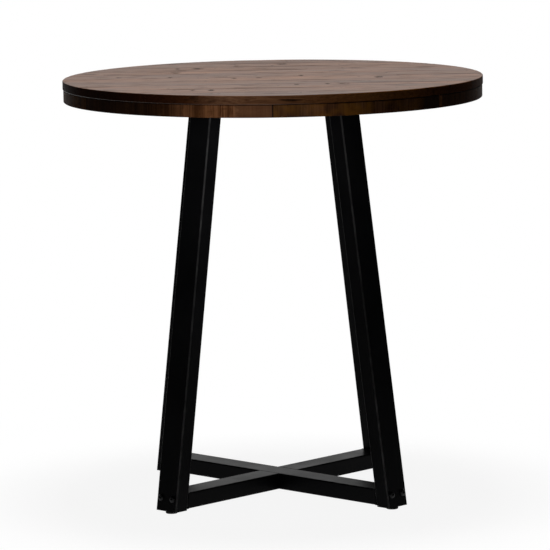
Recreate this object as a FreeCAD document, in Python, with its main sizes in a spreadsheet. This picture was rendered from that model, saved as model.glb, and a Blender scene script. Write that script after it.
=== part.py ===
import FreeCAD, Part
import math
import os
import Sketcher

# Driving dimensions of the table, in millimetres and degrees.
SIZES = {
    "table_height": 914.4,
    "top_diameter": 914.4,
    # Planked top: tongue and groove boards that run from left to right.
    "plank_count": 10,
    "plank_thickness": 19,
    "plank_bevel": 0.8,
    "tongue_thickness": 6,
    "tongue_depth": 7,
    "tongue_gap": 0.2,
    "edge_chamfer": 1.2,
    # Built-up rim under the boards: equal segments and one short closing block.
    "rim_thickness": 27,
    "rim_width": 70,
    "rim_inset": 1.4,
    "rim_chamfer": 1.2,
    "rim_segment_count": 7,
    "rim_closing_angle": 10.4,
    "rim_joint_angle": 268.5,
    # Two battens across the boards, which carry the legs.
    "batten_thickness": 27,
    "batten_margin": 4,
    "batten_chamfer": 2,
    "batten_end_gap": 5,
    "batten_screw_margin": 9,
    # Wood screws, driven from below.
    "screw_diameter": 4.2,
    "screw_head_diameter": 8.4,
    "screw_head_height": 2.6,
    "screw_bite": 11,
    "screw_tip": 4,
    "screw_gap": 0.1,
    "drive_width": 1.2,
    "drive_length": 5,
    "drive_depth": 1.8,
    # Rectangular steel tube of the legs and the stretcher.
    "tube_width": 60,
    "tube_depth": 35,
    "tube_wall": 2,
    "tube_corner": 3,
    "leg_lean": 8.5,
    "foot_circle_radius": 335,
    # Plate on each leg's top, and what holds it to the batten.
    "top_plate_thickness": 5,
    "top_plate_corner": 8,
    "plate_margin": 13,
    "plate_bolt_offset": 24,
    "plate_bolt_spread": 64,
    "plate_bolt_bite": 14,
    "insert_diameter": 12,
    "insert_length": 18,
    "insert_gap": 0.1,
    # Crossed stretcher and its bolts through the legs.
    "bar_lift": 3,
    "end_plate_thickness": 4,
    "bolt_edge": 13,
    "bolt_rise": 2,
    "bolt_diameter": 8,
    "bolt_head_diameter": 15,
    "bolt_head_height": 4.5,
    "bolt_head_rim": 1.2,
    "bolt_dome_radius": 8,
    "bolt_crown_diameter": 6.8,
    "bolt_socket_flats": 5,
    "bolt_socket_depth": 2.8,
    "bolt_hole_gap": 0.5,
    "bolt_overhang": 2,
    "bolt_tip": 1,
    "thread_gap": 0.05,
    "sleeve_wall": 2,
    "nut_flats": 13,
    "nut_height": 6.5,
    # Levelling feet.
    "foot_plate_thickness": 3,
    "foot_plate_gap": 0.3,
    "foot_hole_gap": 1,
    "stem_diameter": 8,
    "stem_spare": 2,
    "stem_tip": 1,
    "stem_flats": 13,
    "stem_hex_height": 3.3,
    "flange_diameter": 18,
    "flange_thickness": 1.3,
    "swivel_gap": 0.1,
    "neck_gap": 0.3,
    "pad_diameter": 26,
    "pad_height": 4,
    "pad_floor": 1.3,
    "pad_chamfer": 1,
    "seat_gap": 0.3,
    "leveller_travel": 10,
}

# Where the legs stand, as angles about the vertical axis from +X.
CORNERS = {"front_left": 225, "front_right": 315, "rear_right": 45, "rear_left": 135}

# Where the screws sit along a rim segment and along the closing block, as shares of its arc.
SEGMENT_SCREW_SHARES = (1 / 6, 1 / 2, 5 / 6)
BLOCK_SCREW_SHARES = (1 / 4, 3 / 4)

# Levels and radii that follow from the driving dimensions.
TOP_RADIUS = "(Sizes.top_diameter / 2)"
PLANK_WIDTH = "(Sizes.top_diameter / Sizes.plank_count)"
PLANK_LEVEL = "(Sizes.table_height - Sizes.plank_thickness)"
RIM_LEVEL = f"({PLANK_LEVEL} - Sizes.rim_thickness)"
RIM_OUTER = f"({TOP_RADIUS} - Sizes.rim_inset)"
RIM_INNER = f"({RIM_OUTER} - Sizes.rim_width)"
SEGMENT_ANGLE = "((360 - Sizes.rim_closing_angle) / Sizes.rim_segment_count)"
BATTEN_LEVEL = f"({PLANK_LEVEL} - Sizes.batten_thickness)"

LEG_TOP = f"({BATTEN_LEVEL} - Sizes.top_plate_thickness)"
STEM_FOOT = "(Sizes.pad_floor + Sizes.swivel_gap)"
STEM_HEX_FOOT = f"({STEM_FOOT} + Sizes.flange_thickness)"
LEG_FOOT = f"({STEM_HEX_FOOT} + Sizes.stem_hex_height + Sizes.seat_gap)"


def leg_axis_radius(level):
    """Distance of a leg's centre line from the table's axis at a level."""
    return f"(Sizes.foot_circle_radius - ({level} - {LEG_FOOT}) * tan(Sizes.leg_lean))"


LEG_TOP_RADIUS = leg_axis_radius(LEG_TOP)
TUBE_RUN = "(Sizes.tube_depth / cos(Sizes.leg_lean))"
WALL_RUN = "(Sizes.tube_wall / cos(Sizes.leg_lean))"

PLATE_BOLT_REACH = f"({TUBE_RUN} / 2 + Sizes.plate_bolt_offset)"
PLATE_HALF_LENGTH = f"({PLATE_BOLT_REACH} + Sizes.plate_margin)"
PLATE_HALF_WIDTH = "(Sizes.plate_bolt_spread / 2 + Sizes.plate_margin)"
BATTEN_X = f"({LEG_TOP_RADIUS} * cos(45))"
BATTEN_HALF_WIDTH = f"(({PLATE_HALF_LENGTH} + {PLATE_HALF_WIDTH}) * cos(45) + Sizes.batten_margin)"
BATTEN_CORNER = f"({BATTEN_X} + {BATTEN_HALF_WIDTH})"
BATTEN_HALF_LENGTH = f"(sqrt({RIM_INNER} ^ 2 - {BATTEN_CORNER} ^ 2) - Sizes.batten_end_gap)"

BAR_BOTTOM = f"({LEG_FOOT} + Sizes.bar_lift)"
BAR_TOP = f"({BAR_BOTTOM} + Sizes.tube_depth)"
BAR_MIDDLE = f"({BAR_BOTTOM} + Sizes.tube_depth / 2)"
BOLT_INNER_LEVEL = f"({BAR_MIDDLE} + Sizes.bolt_rise)"
BOLT_SEAT_LEVEL = f"({BOLT_INNER_LEVEL} + Sizes.tube_depth * sin(Sizes.leg_lean))"
BOLT_OFFSET = "(Sizes.tube_width / 2 - Sizes.bolt_edge)"
BOLT_RADIUS = "(Sizes.bolt_diameter / 2)"
BOLT_HOLE_RADIUS = f"({BOLT_RADIUS} + Sizes.bolt_hole_gap)"
BOLT_GRIP = "(Sizes.tube_depth + Sizes.end_plate_thickness)"

NUT_LEVEL = f"({LEG_FOOT} + Sizes.foot_plate_thickness)"
STEM_RADIUS = "(Sizes.stem_diameter / 2)"
STEM_TOP = f"({NUT_LEVEL} + Sizes.nut_height + Sizes.leveller_travel + Sizes.stem_spare)"
STEM_HEX_RADIUS = "(Sizes.stem_flats / sqrt(3))"


doc = FreeCAD.newDocument("CounterTable")
sheet = doc.addObject("Spreadsheet::Sheet", "Sizes")
for row, (alias, size) in enumerate(SIZES.items(), start=1):
    sheet.set(f"A{row}", alias)
    sheet.set(f"B{row}", str(size))
    sheet.setAlias(f"B{row}", alias)
doc.recompute()

sub_parts = []


def number(formula):
    """Work out a formula of sheet names."""
    return float(sheet.evalExpression(formula))


def inner_face(level):
    """Distance of a leg's inner face from the table's axis at a level."""
    return f"({leg_axis_radius(level)} - {TUBE_RUN} / 2)"


def outer_face(level):
    """Distance of a leg's outer face from the table's axis at a level."""
    return f"({leg_axis_radius(level)} + {TUBE_RUN} / 2)"


def bar_end(level):
    """Distance of a stretcher tube's end from the table's axis at a level."""
    return f"({inner_face(level)} - Sizes.end_plate_thickness / cos(Sizes.leg_lean))"


def new_sketch(body, name, role):
    """Start a sketch on one of the body's own origin planes."""
    sketch = body.newObject("Sketcher::SketchObject", name)
    plane = next(item for item in body.Origin.OriginFeatures if item.Role == role)
    sketch.AttachmentSupport = [(plane, "")]
    sketch.MapMode = "FlatFace"
    return sketch


def pin(sketch, element, point, place):
    """Tie a point of a sketch element to a place given by two formulas.

    Point 1 of an element is its start, 2 its end and 3 its centre. Element -1 is the sketch's level axis,
    whose start is the origin, and element -2 its upright axis.
    """
    for kind, axis, formula in (("DistanceX", -2, place[0]), ("DistanceY", -1, place[1])):
        if formula == "0":
            sketch.addConstraint(Sketcher.Constraint("PointOnObject", element, point, axis))
            continue
        distance = Sketcher.Constraint(kind, -1, 1, element, point, number(formula))
        sketch.setExpression(f"Constraints[{sketch.addConstraint(distance)}]", formula)


def set_radius(sketch, element, formula):
    """Give a circle or an arc its radius."""
    radius = Sketcher.Constraint("Radius", element, number(formula))
    sketch.setExpression(f"Constraints[{sketch.addConstraint(radius)}]", formula)


def bulging_arc(start, end, radius):
    """Arc of less than a half turn from start to end, with its centre on the left."""
    chord = end - start
    depth = math.sqrt(radius ** 2 - (chord.Length / 2) ** 2)
    left = FreeCAD.Vector(-chord.y, chord.x, 0).normalize()
    centre = (start + end) / 2 + left * depth
    angles = [math.atan2(point.y - centre.y, point.x - centre.x) for point in (start, end)]
    return Part.ArcOfCircle(Part.Circle(centre, FreeCAD.Vector(0, 0, 1), radius), *angles)


def outline(sketch, places, arcs=None):
    """Draw a closed counter-clockwise outline; arcs gives the radius of each round side."""
    arcs = arcs or {}
    corners = [FreeCAD.Vector(number(x), number(y), 0) for x, y in places]
    first = sketch.GeometryCount
    count = len(corners)
    for index, corner in enumerate(corners):
        following = corners[(index + 1) % count]
        if index in arcs:
            side = bulging_arc(corner, following, number(arcs[index]))
        else:
            side = Part.LineSegment(corner, following)
        sketch.addGeometry(side, False)
    for index in range(count):
        side = first + index
        joined = first + (index + 1) % count
        sketch.addConstraint(Sketcher.Constraint("Coincident", side, 2, joined, 1))
        pin(sketch, side, 1, places[index])
        if index in arcs:
            set_radius(sketch, side, arcs[index])


def rounded_rectangle(sketch, middle, half_x, half_y, corner):
    """Draw a rectangle with round corners about a middle point."""
    left, right = f"{middle[0]} - {half_x}", f"{middle[0]} + {half_x}"
    low, high = f"{middle[1]} - {half_y}", f"{middle[1]} + {half_y}"
    places = [
        (f"{left} + {corner}", low), (f"{right} - {corner}", low),
        (right, f"{low} + {corner}"), (right, f"{high} - {corner}"),
        (f"{right} - {corner}", high), (f"{left} + {corner}", high),
        (left, f"{high} - {corner}"), (left, f"{low} + {corner}"),
    ]
    outline(sketch, places, {index: corner for index in (1, 3, 5, 7)})


def circle(sketch, place, radius):
    """Draw a circle at a place."""
    middle = FreeCAD.Vector(number(place[0]), number(place[1]), 0)
    element = sketch.addGeometry(Part.Circle(middle, FreeCAD.Vector(0, 0, 1), number(radius)), False)
    pin(sketch, element, 3, place)
    set_radius(sketch, element, radius)


def hexagon(sketch, flats):
    """Draw a hexagon about the sketch's origin, given its width across the flats."""
    corner = f"{flats} / sqrt(3)"
    outline(sketch, [(f"{corner} * cos({turn})", f"{corner} * sin({turn})")
                     for turn in range(0, 360, 60)])


def pad(body, sketch, length, side_type="One side"):
    """Raise a sketch into a solid."""
    feature = body.newObject("PartDesign::Pad", f"{body.Name}Pad")
    feature.Profile = sketch
    feature.SideType = side_type
    feature.setExpression("Length", length)
    return feature


def lean_pad(body, sketch, height):
    """Raise a level sketch to a height along the leg's leaning centre line."""
    feature = pad(body, sketch, height)
    feature.UseCustomVector = True
    feature.AlongSketchNormal = True
    feature.Direction = FreeCAD.Vector(-math.tan(math.radians(number("Sizes.leg_lean"))), 0, 1)
    feature.setExpression("Direction.x", "-tan(Sizes.leg_lean)")


def pocket(body, sketch, depth=None, side_type="One side"):
    """Cut a sketch into a body, right through where no depth is given."""
    doc.recompute()
    before = body.Shape.Volume
    feature = body.newObject("PartDesign::Pocket", f"{body.Name}Pocket")
    feature.Profile = sketch
    feature.SideType = side_type
    if depth:
        feature.setExpression("Length", depth)
    else:
        feature.Type = "ThroughAll"
    doc.recompute()
    if body.Shape.Volume >= before:
        raise RuntimeError(f"{feature.Name} cuts nothing")


def turned(name, places, arcs=None):
    """Turn a profile of radius and height about the vertical axis."""
    body = doc.addObject("PartDesign::Body", name)
    sketch = new_sketch(body, f"{name}Profile", "XZ_Plane")
    outline(sketch, places, arcs)
    feature = body.newObject("PartDesign::Revolution", f"{name}Revolution")
    feature.Profile = sketch
    feature.ReferenceAxis = (sketch, ["V_Axis"])
    return body


def cut(base, tools, name):
    """Take tools out of a base."""
    feature = doc.addObject("Part::Cut", name)
    feature.Base = base
    feature.Tool = tools
    return feature


def turn_about_axis(angle):
    """Placement that turns a piece about the table's vertical axis."""
    return FreeCAD.Placement(FreeCAD.Vector(), FreeCAD.Rotation(FreeCAD.Vector(0, 0, 1), angle))


def copies(piece, places, name):
    """Repeat one piece at several places, as separate solids in one object."""
    doc.recompute()
    solids = []
    for place in places:
        solid = piece.Shape.copy()
        solid.Placement = place.multiply(solid.Placement)
        solids.append(solid)
    feature = doc.addObject("Part::Feature", name)
    feature.Shape = Part.makeCompound(solids)
    return feature


def keep(item, label):
    """Keep an object as a sub-part under its own name."""
    item.Label = label
    sub_parts.append(item)


# Wood screws.
def screw_profile(board, gap):
    """Countersunk screw with its head flush at level 0; the gap makes it the hole's shape."""
    head = f"(Sizes.screw_head_diameter / 2 + {gap})"
    shank = f"(Sizes.screw_diameter / 2 + {gap})"
    tip = f"({board} + Sizes.screw_bite + {gap})"
    return [("0", "0"), (head, "0"), (shank, "Sizes.screw_head_height"),
            (shank, f"{tip} - Sizes.screw_tip"), ("0", tip)]


def make_screw(name, board):
    """Screw with a cross recess in its head."""
    body = turned(name, screw_profile(board, "0"))
    sketch = new_sketch(body, f"{name}Drive", "XY_Plane")
    long, short = "Sizes.drive_length / 2", "Sizes.drive_width / 2"
    arm = [(long, short), (short, short), (short, long)]
    places = []
    for quarter_turn in range(4):
        places += arm
        arm = [(f"-({y})", x) for x, y in arm]
    outline(sketch, places)
    pocket(body, sketch, "Sizes.drive_depth", "Symmetric")
    return body


def rim_screw_places():
    """Three screws in each rim segment and two in the closing block."""
    radius = number(f"{RIM_INNER} + Sizes.rim_width / 2")
    joint = number("Sizes.rim_joint_angle")
    segment = number(SEGMENT_ANGLE)
    closing = number("Sizes.rim_closing_angle")
    angles = [joint - closing * share for share in BLOCK_SCREW_SHARES]
    for index in range(int(number("Sizes.rim_segment_count"))):
        angles += [joint + segment * (index + share) for share in SEGMENT_SCREW_SHARES]
    spot = FreeCAD.Placement(FreeCAD.Vector(radius, 0, number(RIM_LEVEL)), FreeCAD.Rotation())
    return [turn_about_axis(angle).multiply(spot) for angle in angles]


def batten_screw_places():
    """Two screws in each plank that crosses each batten, near the batten's long edges."""
    reach = number(BATTEN_HALF_LENGTH)
    width = number(PLANK_WIDTH)
    room = 2 * number("Sizes.screw_head_diameter")
    middle = number(BATTEN_X)
    aside = number(f"{BATTEN_HALF_WIDTH} - Sizes.batten_screw_margin")
    places = []
    for index in range(int(number("Sizes.plank_count"))):
        low = index * width - number(TOP_RADIUS)
        near, far = max(low, -reach), min(low + width, reach)
        if far - near > room:
            for x in (-middle - aside, -middle + aside, middle - aside, middle + aside):
                spot = FreeCAD.Vector(x, (near + far) / 2, number(BATTEN_LEVEL))
                places.append(FreeCAD.Placement(spot, FreeCAD.Rotation()))
    return places


def make_screws():
    """Both groups of screws, and the holes that the wood has for them."""
    holes = []
    for name, board, places in (("Rim", "Sizes.rim_thickness", rim_screw_places()),
                                ("Batten", "Sizes.batten_thickness", batten_screw_places())):
        screw = make_screw(f"{name}Screw", board)
        hole = turned(f"{name}ScrewHole", screw_profile(board, "Sizes.screw_gap"))
        keep(copies(screw, places, f"{name}Screws"), f"{name.lower()}_screws")
        holes.append(copies(hole, places, f"{name}ScrewHoles"))
    return holes


# Wooden top.
def make_top_blank():
    """Whole disc of the boards, with its eased edge."""
    low, high = PLANK_LEVEL, "Sizes.table_height"
    ease = "Sizes.edge_chamfer"
    return turned("TopBlank", [
        ("0", low), (f"{TOP_RADIUS} - {ease}", low), (TOP_RADIUS, f"{low} + {ease}"),
        (TOP_RADIUS, f"{high} - {ease}"), (f"{TOP_RADIUS} - {ease}", high), ("0", high)])


def make_strip(index, last):
    """Endless board: a groove on its front side, a tongue on its rear side, bevelled joints."""
    front = f"({index} * {PLANK_WIDTH} - {TOP_RADIUS})"
    rear = f"({front} + {PLANK_WIDTH})"
    low, high = PLANK_LEVEL, "Sizes.table_height"
    bevel = "Sizes.plank_bevel"
    middle = f"({low} + Sizes.plank_thickness / 2)"
    tongue = "Sizes.tongue_thickness / 2"
    slot = "(Sizes.tongue_thickness / 2 + Sizes.tongue_gap)"
    beyond = "Sizes.tongue_depth"
    if last:
        rear_side = [(f"{TOP_RADIUS} + {beyond}", low), (f"{TOP_RADIUS} + {beyond}", high)]
    else:
        rear_side = [
            (rear, low), (rear, f"{middle} - {tongue}"),
            (f"{rear} + Sizes.tongue_depth", f"{middle} - {tongue}"),
            (f"{rear} + Sizes.tongue_depth", f"{middle} + {tongue}"),
            (rear, f"{middle} + {tongue}"), (rear, f"{high} - {bevel}"), (f"{rear} - {bevel}", high)]
    if index == 0:
        front_side = [(f"{front} - {beyond}", high), (f"{front} - {beyond}", low)]
    else:
        depth = f"{front} + Sizes.tongue_depth + Sizes.tongue_gap"
        front_side = [
            (f"{front} + {bevel}", high), (front, f"{high} - {bevel}"), (front, f"{middle} + {slot}"),
            (depth, f"{middle} + {slot}"), (depth, f"{middle} - {slot}"),
            (front, f"{middle} - {slot}"), (front, low)]
    body = doc.addObject("PartDesign::Body", f"Strip{index + 1}")
    sketch = new_sketch(body, f"Strip{index + 1}Profile", "YZ_Plane")
    outline(sketch, rear_side + front_side)
    pad(body, sketch, "Sizes.top_diameter + Sizes.plank_thickness", "Symmetric")
    return body


def make_planks(screw_holes):
    """The boards, each cut to the round top and drilled for the screws."""
    blank = make_top_blank()
    holes = doc.addObject("Part::Compound", "TopScrewHoles")
    holes.Links = screw_holes
    count = int(number("Sizes.plank_count"))
    for index in range(count):
        board = doc.addObject("Part::Common", f"Board{index + 1}")
        board.Base = blank
        board.Tool = make_strip(index, last=index == count - 1)
        keep(cut(board, holes, f"Plank{index + 1}"), f"plank_{index + 1:02d}")


def make_rim_piece(name, angle, start, holes):
    """Arc of the rim, drilled for its screws."""
    ease = "Sizes.rim_chamfer"
    body = turned(f"{name}Arc", [
        (RIM_INNER, RIM_LEVEL), (f"{RIM_OUTER} - {ease}", RIM_LEVEL),
        (RIM_OUTER, f"{RIM_LEVEL} + {ease}"), (RIM_OUTER, f"{PLANK_LEVEL} - {ease}"),
        (f"{RIM_OUTER} - {ease}", PLANK_LEVEL), (RIM_INNER, PLANK_LEVEL)])
    body.Tip.setExpression("Angle", angle)
    body.Placement = turn_about_axis(number(start))
    body.setExpression("Placement.Rotation.Angle", start)
    return cut(body, holes, name)


def make_rim(holes):
    """Equal segments all round, closed by one short block at the front."""
    for index in range(int(number("Sizes.rim_segment_count"))):
        start = f"Sizes.rim_joint_angle + {index} * {SEGMENT_ANGLE}"
        keep(make_rim_piece(f"RimSegment{index + 1}", SEGMENT_ANGLE, start, holes),
             f"rim_segment_{index + 1}")
    start = "Sizes.rim_joint_angle - Sizes.rim_closing_angle"
    keep(make_rim_piece("RimClosingBlock", "Sizes.rim_closing_angle", start, holes),
         "rim_closing_block")


def make_battens(screw_holes, insert_holes):
    """Cross boards between the rim's sides, drilled for screws and threaded inserts."""
    left, right = f"{BATTEN_X} - {BATTEN_HALF_WIDTH}", BATTEN_CORNER
    ease = "Sizes.batten_chamfer"
    holes = doc.addObject("Part::Compound", "BattenHoles")
    holes.Links = [screw_holes, insert_holes]
    for side, angle in (("right", 0), ("left", 180)):
        body = doc.addObject("PartDesign::Body", f"Batten{side.title()}Board")
        sketch = new_sketch(body, f"Batten{side.title()}Profile", "XZ_Plane")
        outline(sketch, [
            (f"{left} + {ease}", BATTEN_LEVEL), (f"{right} - {ease}", BATTEN_LEVEL),
            (right, f"{BATTEN_LEVEL} + {ease}"), (right, PLANK_LEVEL),
            (left, PLANK_LEVEL), (left, f"{BATTEN_LEVEL} + {ease}")])
        pad(body, sketch, f"2 * {BATTEN_HALF_LENGTH}", "Symmetric")
        body.Placement = turn_about_axis(angle)
        keep(cut(body, holes, f"Batten{side.title()}"), f"batten_{side}")


# Bolts, nuts and sleeves.
def make_bolt(name, length):
    """Button-head bolt: its seat is at level 0, its head above and its shank below."""
    head = "(Sizes.bolt_head_diameter / 2)"
    crown = "(Sizes.bolt_crown_diameter / 2)"
    foot = f"-({length})"
    body = turned(name, [
        ("0", foot), (f"{BOLT_RADIUS} - Sizes.bolt_tip", foot),
        (BOLT_RADIUS, f"{foot} + Sizes.bolt_tip"), (BOLT_RADIUS, "0"), (head, "0"),
        (head, "Sizes.bolt_head_rim"), (crown, "Sizes.bolt_head_height"),
        ("0", "Sizes.bolt_head_height")], {5: "Sizes.bolt_dome_radius"})
    sketch = new_sketch(body, f"{name}Socket", "XY_Plane")
    sketch.setExpression("AttachmentOffset.Base.z", "Sizes.bolt_head_height")
    hexagon(sketch, "Sizes.bolt_socket_flats")
    pocket(body, sketch, "Sizes.bolt_socket_depth")
    return body


def make_nut(name, bore):
    """Hexagon nut with its lower face at level 0."""
    body = doc.addObject("PartDesign::Body", name)
    sketch = new_sketch(body, f"{name}Outline", "XY_Plane")
    hexagon(sketch, "Sizes.nut_flats")
    circle(sketch, ("0", "0"), bore)
    pad(body, sketch, "Sizes.nut_height")
    return body


def make_ring(name, inner, outer, low, high):
    """Plain round sleeve."""
    return turned(name, [(inner, low), (outer, low), (outer, high), (inner, high)])


def plate_bolt_places(level, head_down):
    """Four places in each leg's top plate."""
    radius, reach = number(LEG_TOP_RADIUS), number(PLATE_BOLT_REACH)
    spread = number("Sizes.plate_bolt_spread") / 2
    facing = FreeCAD.Rotation(FreeCAD.Vector(1, 0, 0), 180 if head_down else 0)
    places = []
    for angle in CORNERS.values():
        for along in (radius - reach, radius + reach):
            for across in (-spread, spread):
                spot = FreeCAD.Placement(FreeCAD.Vector(along, across, number(level)), facing)
                places.append(turn_about_axis(angle).multiply(spot))
    return places


def leg_bolt_places(depth):
    """Two places in each leg, square to its faces, at a depth from its outer face."""
    lean = math.radians(number("Sizes.leg_lean"))
    outward = FreeCAD.Vector(math.cos(lean), 0, math.sin(lean))
    facing = FreeCAD.Rotation(FreeCAD.Vector(0, 0, 1), outward)
    seat = FreeCAD.Vector(number(outer_face(BOLT_SEAT_LEVEL)), 0, number(BOLT_SEAT_LEVEL))
    places = []
    for angle in CORNERS.values():
        for side in (-1, 1):
            across = FreeCAD.Vector(0, side * number(BOLT_OFFSET), 0)
            spot = FreeCAD.Placement(seat + across - outward * number(depth), facing)
            places.append(turn_about_axis(angle).multiply(spot))
    return places


def make_plate_fasteners():
    """Bolts that hold the legs to the battens, and the threaded inserts that they enter."""
    bolt = make_bolt("PlateBolt", "Sizes.top_plate_thickness + Sizes.plate_bolt_bite")
    keep(copies(bolt, plate_bolt_places(LEG_TOP, True), "PlateBolts"), "plate_bolts")
    bore = f"({BOLT_RADIUS} + Sizes.thread_gap)"
    outside = "Sizes.insert_diameter / 2"
    insert = make_ring("Insert", bore, outside, "0", "Sizes.insert_length")
    places = plate_bolt_places(BATTEN_LEVEL, False)
    keep(copies(insert, places, "Inserts"), "plate_inserts")
    hole = turned("InsertHole", [
        ("0", "0"), (f"{outside} + Sizes.insert_gap", "0"),
        (f"{outside} + Sizes.insert_gap", "Sizes.insert_length + Sizes.insert_gap"),
        ("0", "Sizes.insert_length + Sizes.insert_gap")])
    return copies(hole, places, "InsertHoles")


def make_leg_fasteners():
    """Bolts through the legs, the sleeves inside the tube and the nuts behind the end plates."""
    bolt = make_bolt("LegBolt", f"{BOLT_GRIP} + Sizes.nut_height + Sizes.bolt_overhang")
    keep(copies(bolt, leg_bolt_places("0"), "LegBolts"), "leg_bolts")
    sleeve = make_ring("Sleeve", BOLT_HOLE_RADIUS, f"{BOLT_HOLE_RADIUS} + Sizes.sleeve_wall",
                       "0", "Sizes.tube_depth - 2 * Sizes.tube_wall")
    sleeve_depth = "Sizes.tube_depth - Sizes.tube_wall"
    keep(copies(sleeve, leg_bolt_places(sleeve_depth), "Sleeves"), "leg_bolt_sleeves")
    nut = make_nut("BarNut", f"{BOLT_RADIUS} + Sizes.thread_gap")
    nut_depth = f"{BOLT_GRIP} + Sizes.nut_height"
    keep(copies(nut, leg_bolt_places(nut_depth), "BarNuts"), "stretcher_nuts")


# Steel base.
def drill_across(body, level, radius):
    """Drill the two bolt holes square to the leg's faces, from a point on their centre line inwards."""
    sketch = new_sketch(body, f"{body.Name}Holes", "YZ_Plane")
    tilt = FreeCAD.Rotation(FreeCAD.Vector(1, 0, 0), -number("Sizes.leg_lean"))
    sketch.AttachmentOffset = FreeCAD.Placement(FreeCAD.Vector(), tilt)
    sketch.setExpression("AttachmentOffset.Base.y", level)
    sketch.setExpression("AttachmentOffset.Base.z", radius)
    sketch.setExpression("AttachmentOffset.Rotation.Angle", "-Sizes.leg_lean")
    for side in ("-", ""):
        circle(sketch, (f"{side}{BOLT_OFFSET}", "0"), BOLT_HOLE_RADIUS)
    pocket(body, sketch)


def make_leg(corner, angle):
    """Leaning tube, cut level at both ends, with two bolt holes near its foot."""
    body = doc.addObject("PartDesign::Body", f"Leg_{corner}")
    sketch = new_sketch(body, f"{body.Name}Section", "XY_Plane")
    sketch.setExpression("AttachmentOffset.Base.z", LEG_FOOT)
    middle = ("Sizes.foot_circle_radius", "0")
    rounded_rectangle(sketch, middle, f"{TUBE_RUN} / 2", "Sizes.tube_width / 2", "Sizes.tube_corner")
    rounded_rectangle(sketch, middle, f"({TUBE_RUN} / 2 - {WALL_RUN})",
                      "(Sizes.tube_width / 2 - Sizes.tube_wall)", "(Sizes.tube_corner - Sizes.tube_wall)")
    lean_pad(body, sketch, f"{LEG_TOP} - {LEG_FOOT}")
    drill_across(body, BOLT_SEAT_LEVEL, outer_face(BOLT_SEAT_LEVEL))
    body.Placement = turn_about_axis(angle)
    keep(body, f"leg_{corner}")


def make_top_plate(corner, angle):
    """Plate welded on the leg's top, with four bolt holes."""
    body = doc.addObject("PartDesign::Body", f"TopPlate_{corner}")
    sketch = new_sketch(body, f"{body.Name}Outline", "XY_Plane")
    sketch.setExpression("AttachmentOffset.Base.z", LEG_TOP)
    middle = (LEG_TOP_RADIUS, "0")
    rounded_rectangle(sketch, middle, PLATE_HALF_LENGTH, PLATE_HALF_WIDTH, "Sizes.top_plate_corner")
    for along in ("-", "+"):
        for across in ("-", ""):
            place = (f"{LEG_TOP_RADIUS} {along} {PLATE_BOLT_REACH}",
                     f"{across}Sizes.plate_bolt_spread / 2")
            circle(sketch, place, BOLT_HOLE_RADIUS)
    pad(body, sketch, "Sizes.top_plate_thickness")
    body.Placement = turn_about_axis(angle)
    keep(body, f"top_plate_{corner}")


def make_foot_plate(corner, angle):
    """Plate that closes the leg's foot, with the hole for the leveller."""
    body = doc.addObject("PartDesign::Body", f"FootPlate_{corner}")
    sketch = new_sketch(body, f"{body.Name}Outline", "XY_Plane")
    sketch.setExpression("AttachmentOffset.Base.z", LEG_FOOT)
    middle = ("Sizes.foot_circle_radius", "0")
    rounded_rectangle(sketch, middle, f"({TUBE_RUN} / 2 - {WALL_RUN} - Sizes.foot_plate_gap)",
                      "(Sizes.tube_width / 2 - Sizes.tube_wall - Sizes.foot_plate_gap)",
                      "(Sizes.tube_corner - Sizes.tube_wall)")
    circle(sketch, ("Sizes.foot_circle_radius", "0"), f"{STEM_RADIUS} + Sizes.foot_hole_gap")
    lean_pad(body, sketch, "Sizes.foot_plate_thickness")
    body.Placement = turn_about_axis(angle)
    keep(body, f"foot_plate_{corner}")


def make_end_plate(corner, angle):
    """Plate on the stretcher's end that lies against the leg's inner face."""
    body = doc.addObject("PartDesign::Body", f"EndPlate_{corner}")
    sketch = new_sketch(body, f"{body.Name}Side", "XZ_Plane")
    outline(sketch, [(bar_end(BAR_BOTTOM), BAR_BOTTOM), (inner_face(BAR_BOTTOM), BAR_BOTTOM),
                     (inner_face(BAR_TOP), BAR_TOP), (bar_end(BAR_TOP), BAR_TOP)])
    pad(body, sketch, "Sizes.tube_width", "Symmetric")
    drill_across(body, BOLT_INNER_LEVEL, inner_face(BOLT_INNER_LEVEL))
    body.Placement = turn_about_axis(angle)
    keep(body, f"end_plate_{corner}")


def trim_bar(body, sides):
    """Cut a bar's ends to the slope of the legs."""
    sketch = new_sketch(body, f"{body.Name}Trim", "XZ_Plane")
    low, high = f"({BAR_BOTTOM} - Sizes.tube_wall)", f"({BAR_TOP} + Sizes.tube_wall)"
    beyond = f"({bar_end(BAR_BOTTOM)} + 2 * Sizes.tube_depth)"
    for side in sides:
        outline(sketch, [(f"{side}{bar_end(low)}", low), (f"{side}{beyond}", low),
                         (f"{side}{beyond}", high), (f"{side}{bar_end(high)}", high)])
    pocket(body, sketch, side_type="Symmetric")


def bar_section(body):
    """Section of the stretcher tube, which lies flat."""
    sketch = new_sketch(body, f"{body.Name}Section", "YZ_Plane")
    middle = ("0", BAR_MIDDLE)
    rounded_rectangle(sketch, middle, "Sizes.tube_width / 2", "Sizes.tube_depth / 2", "Sizes.tube_corner")
    rounded_rectangle(sketch, middle, "(Sizes.tube_width / 2 - Sizes.tube_wall)",
                      "(Sizes.tube_depth / 2 - Sizes.tube_wall)", "(Sizes.tube_corner - Sizes.tube_wall)")
    return sketch


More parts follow.
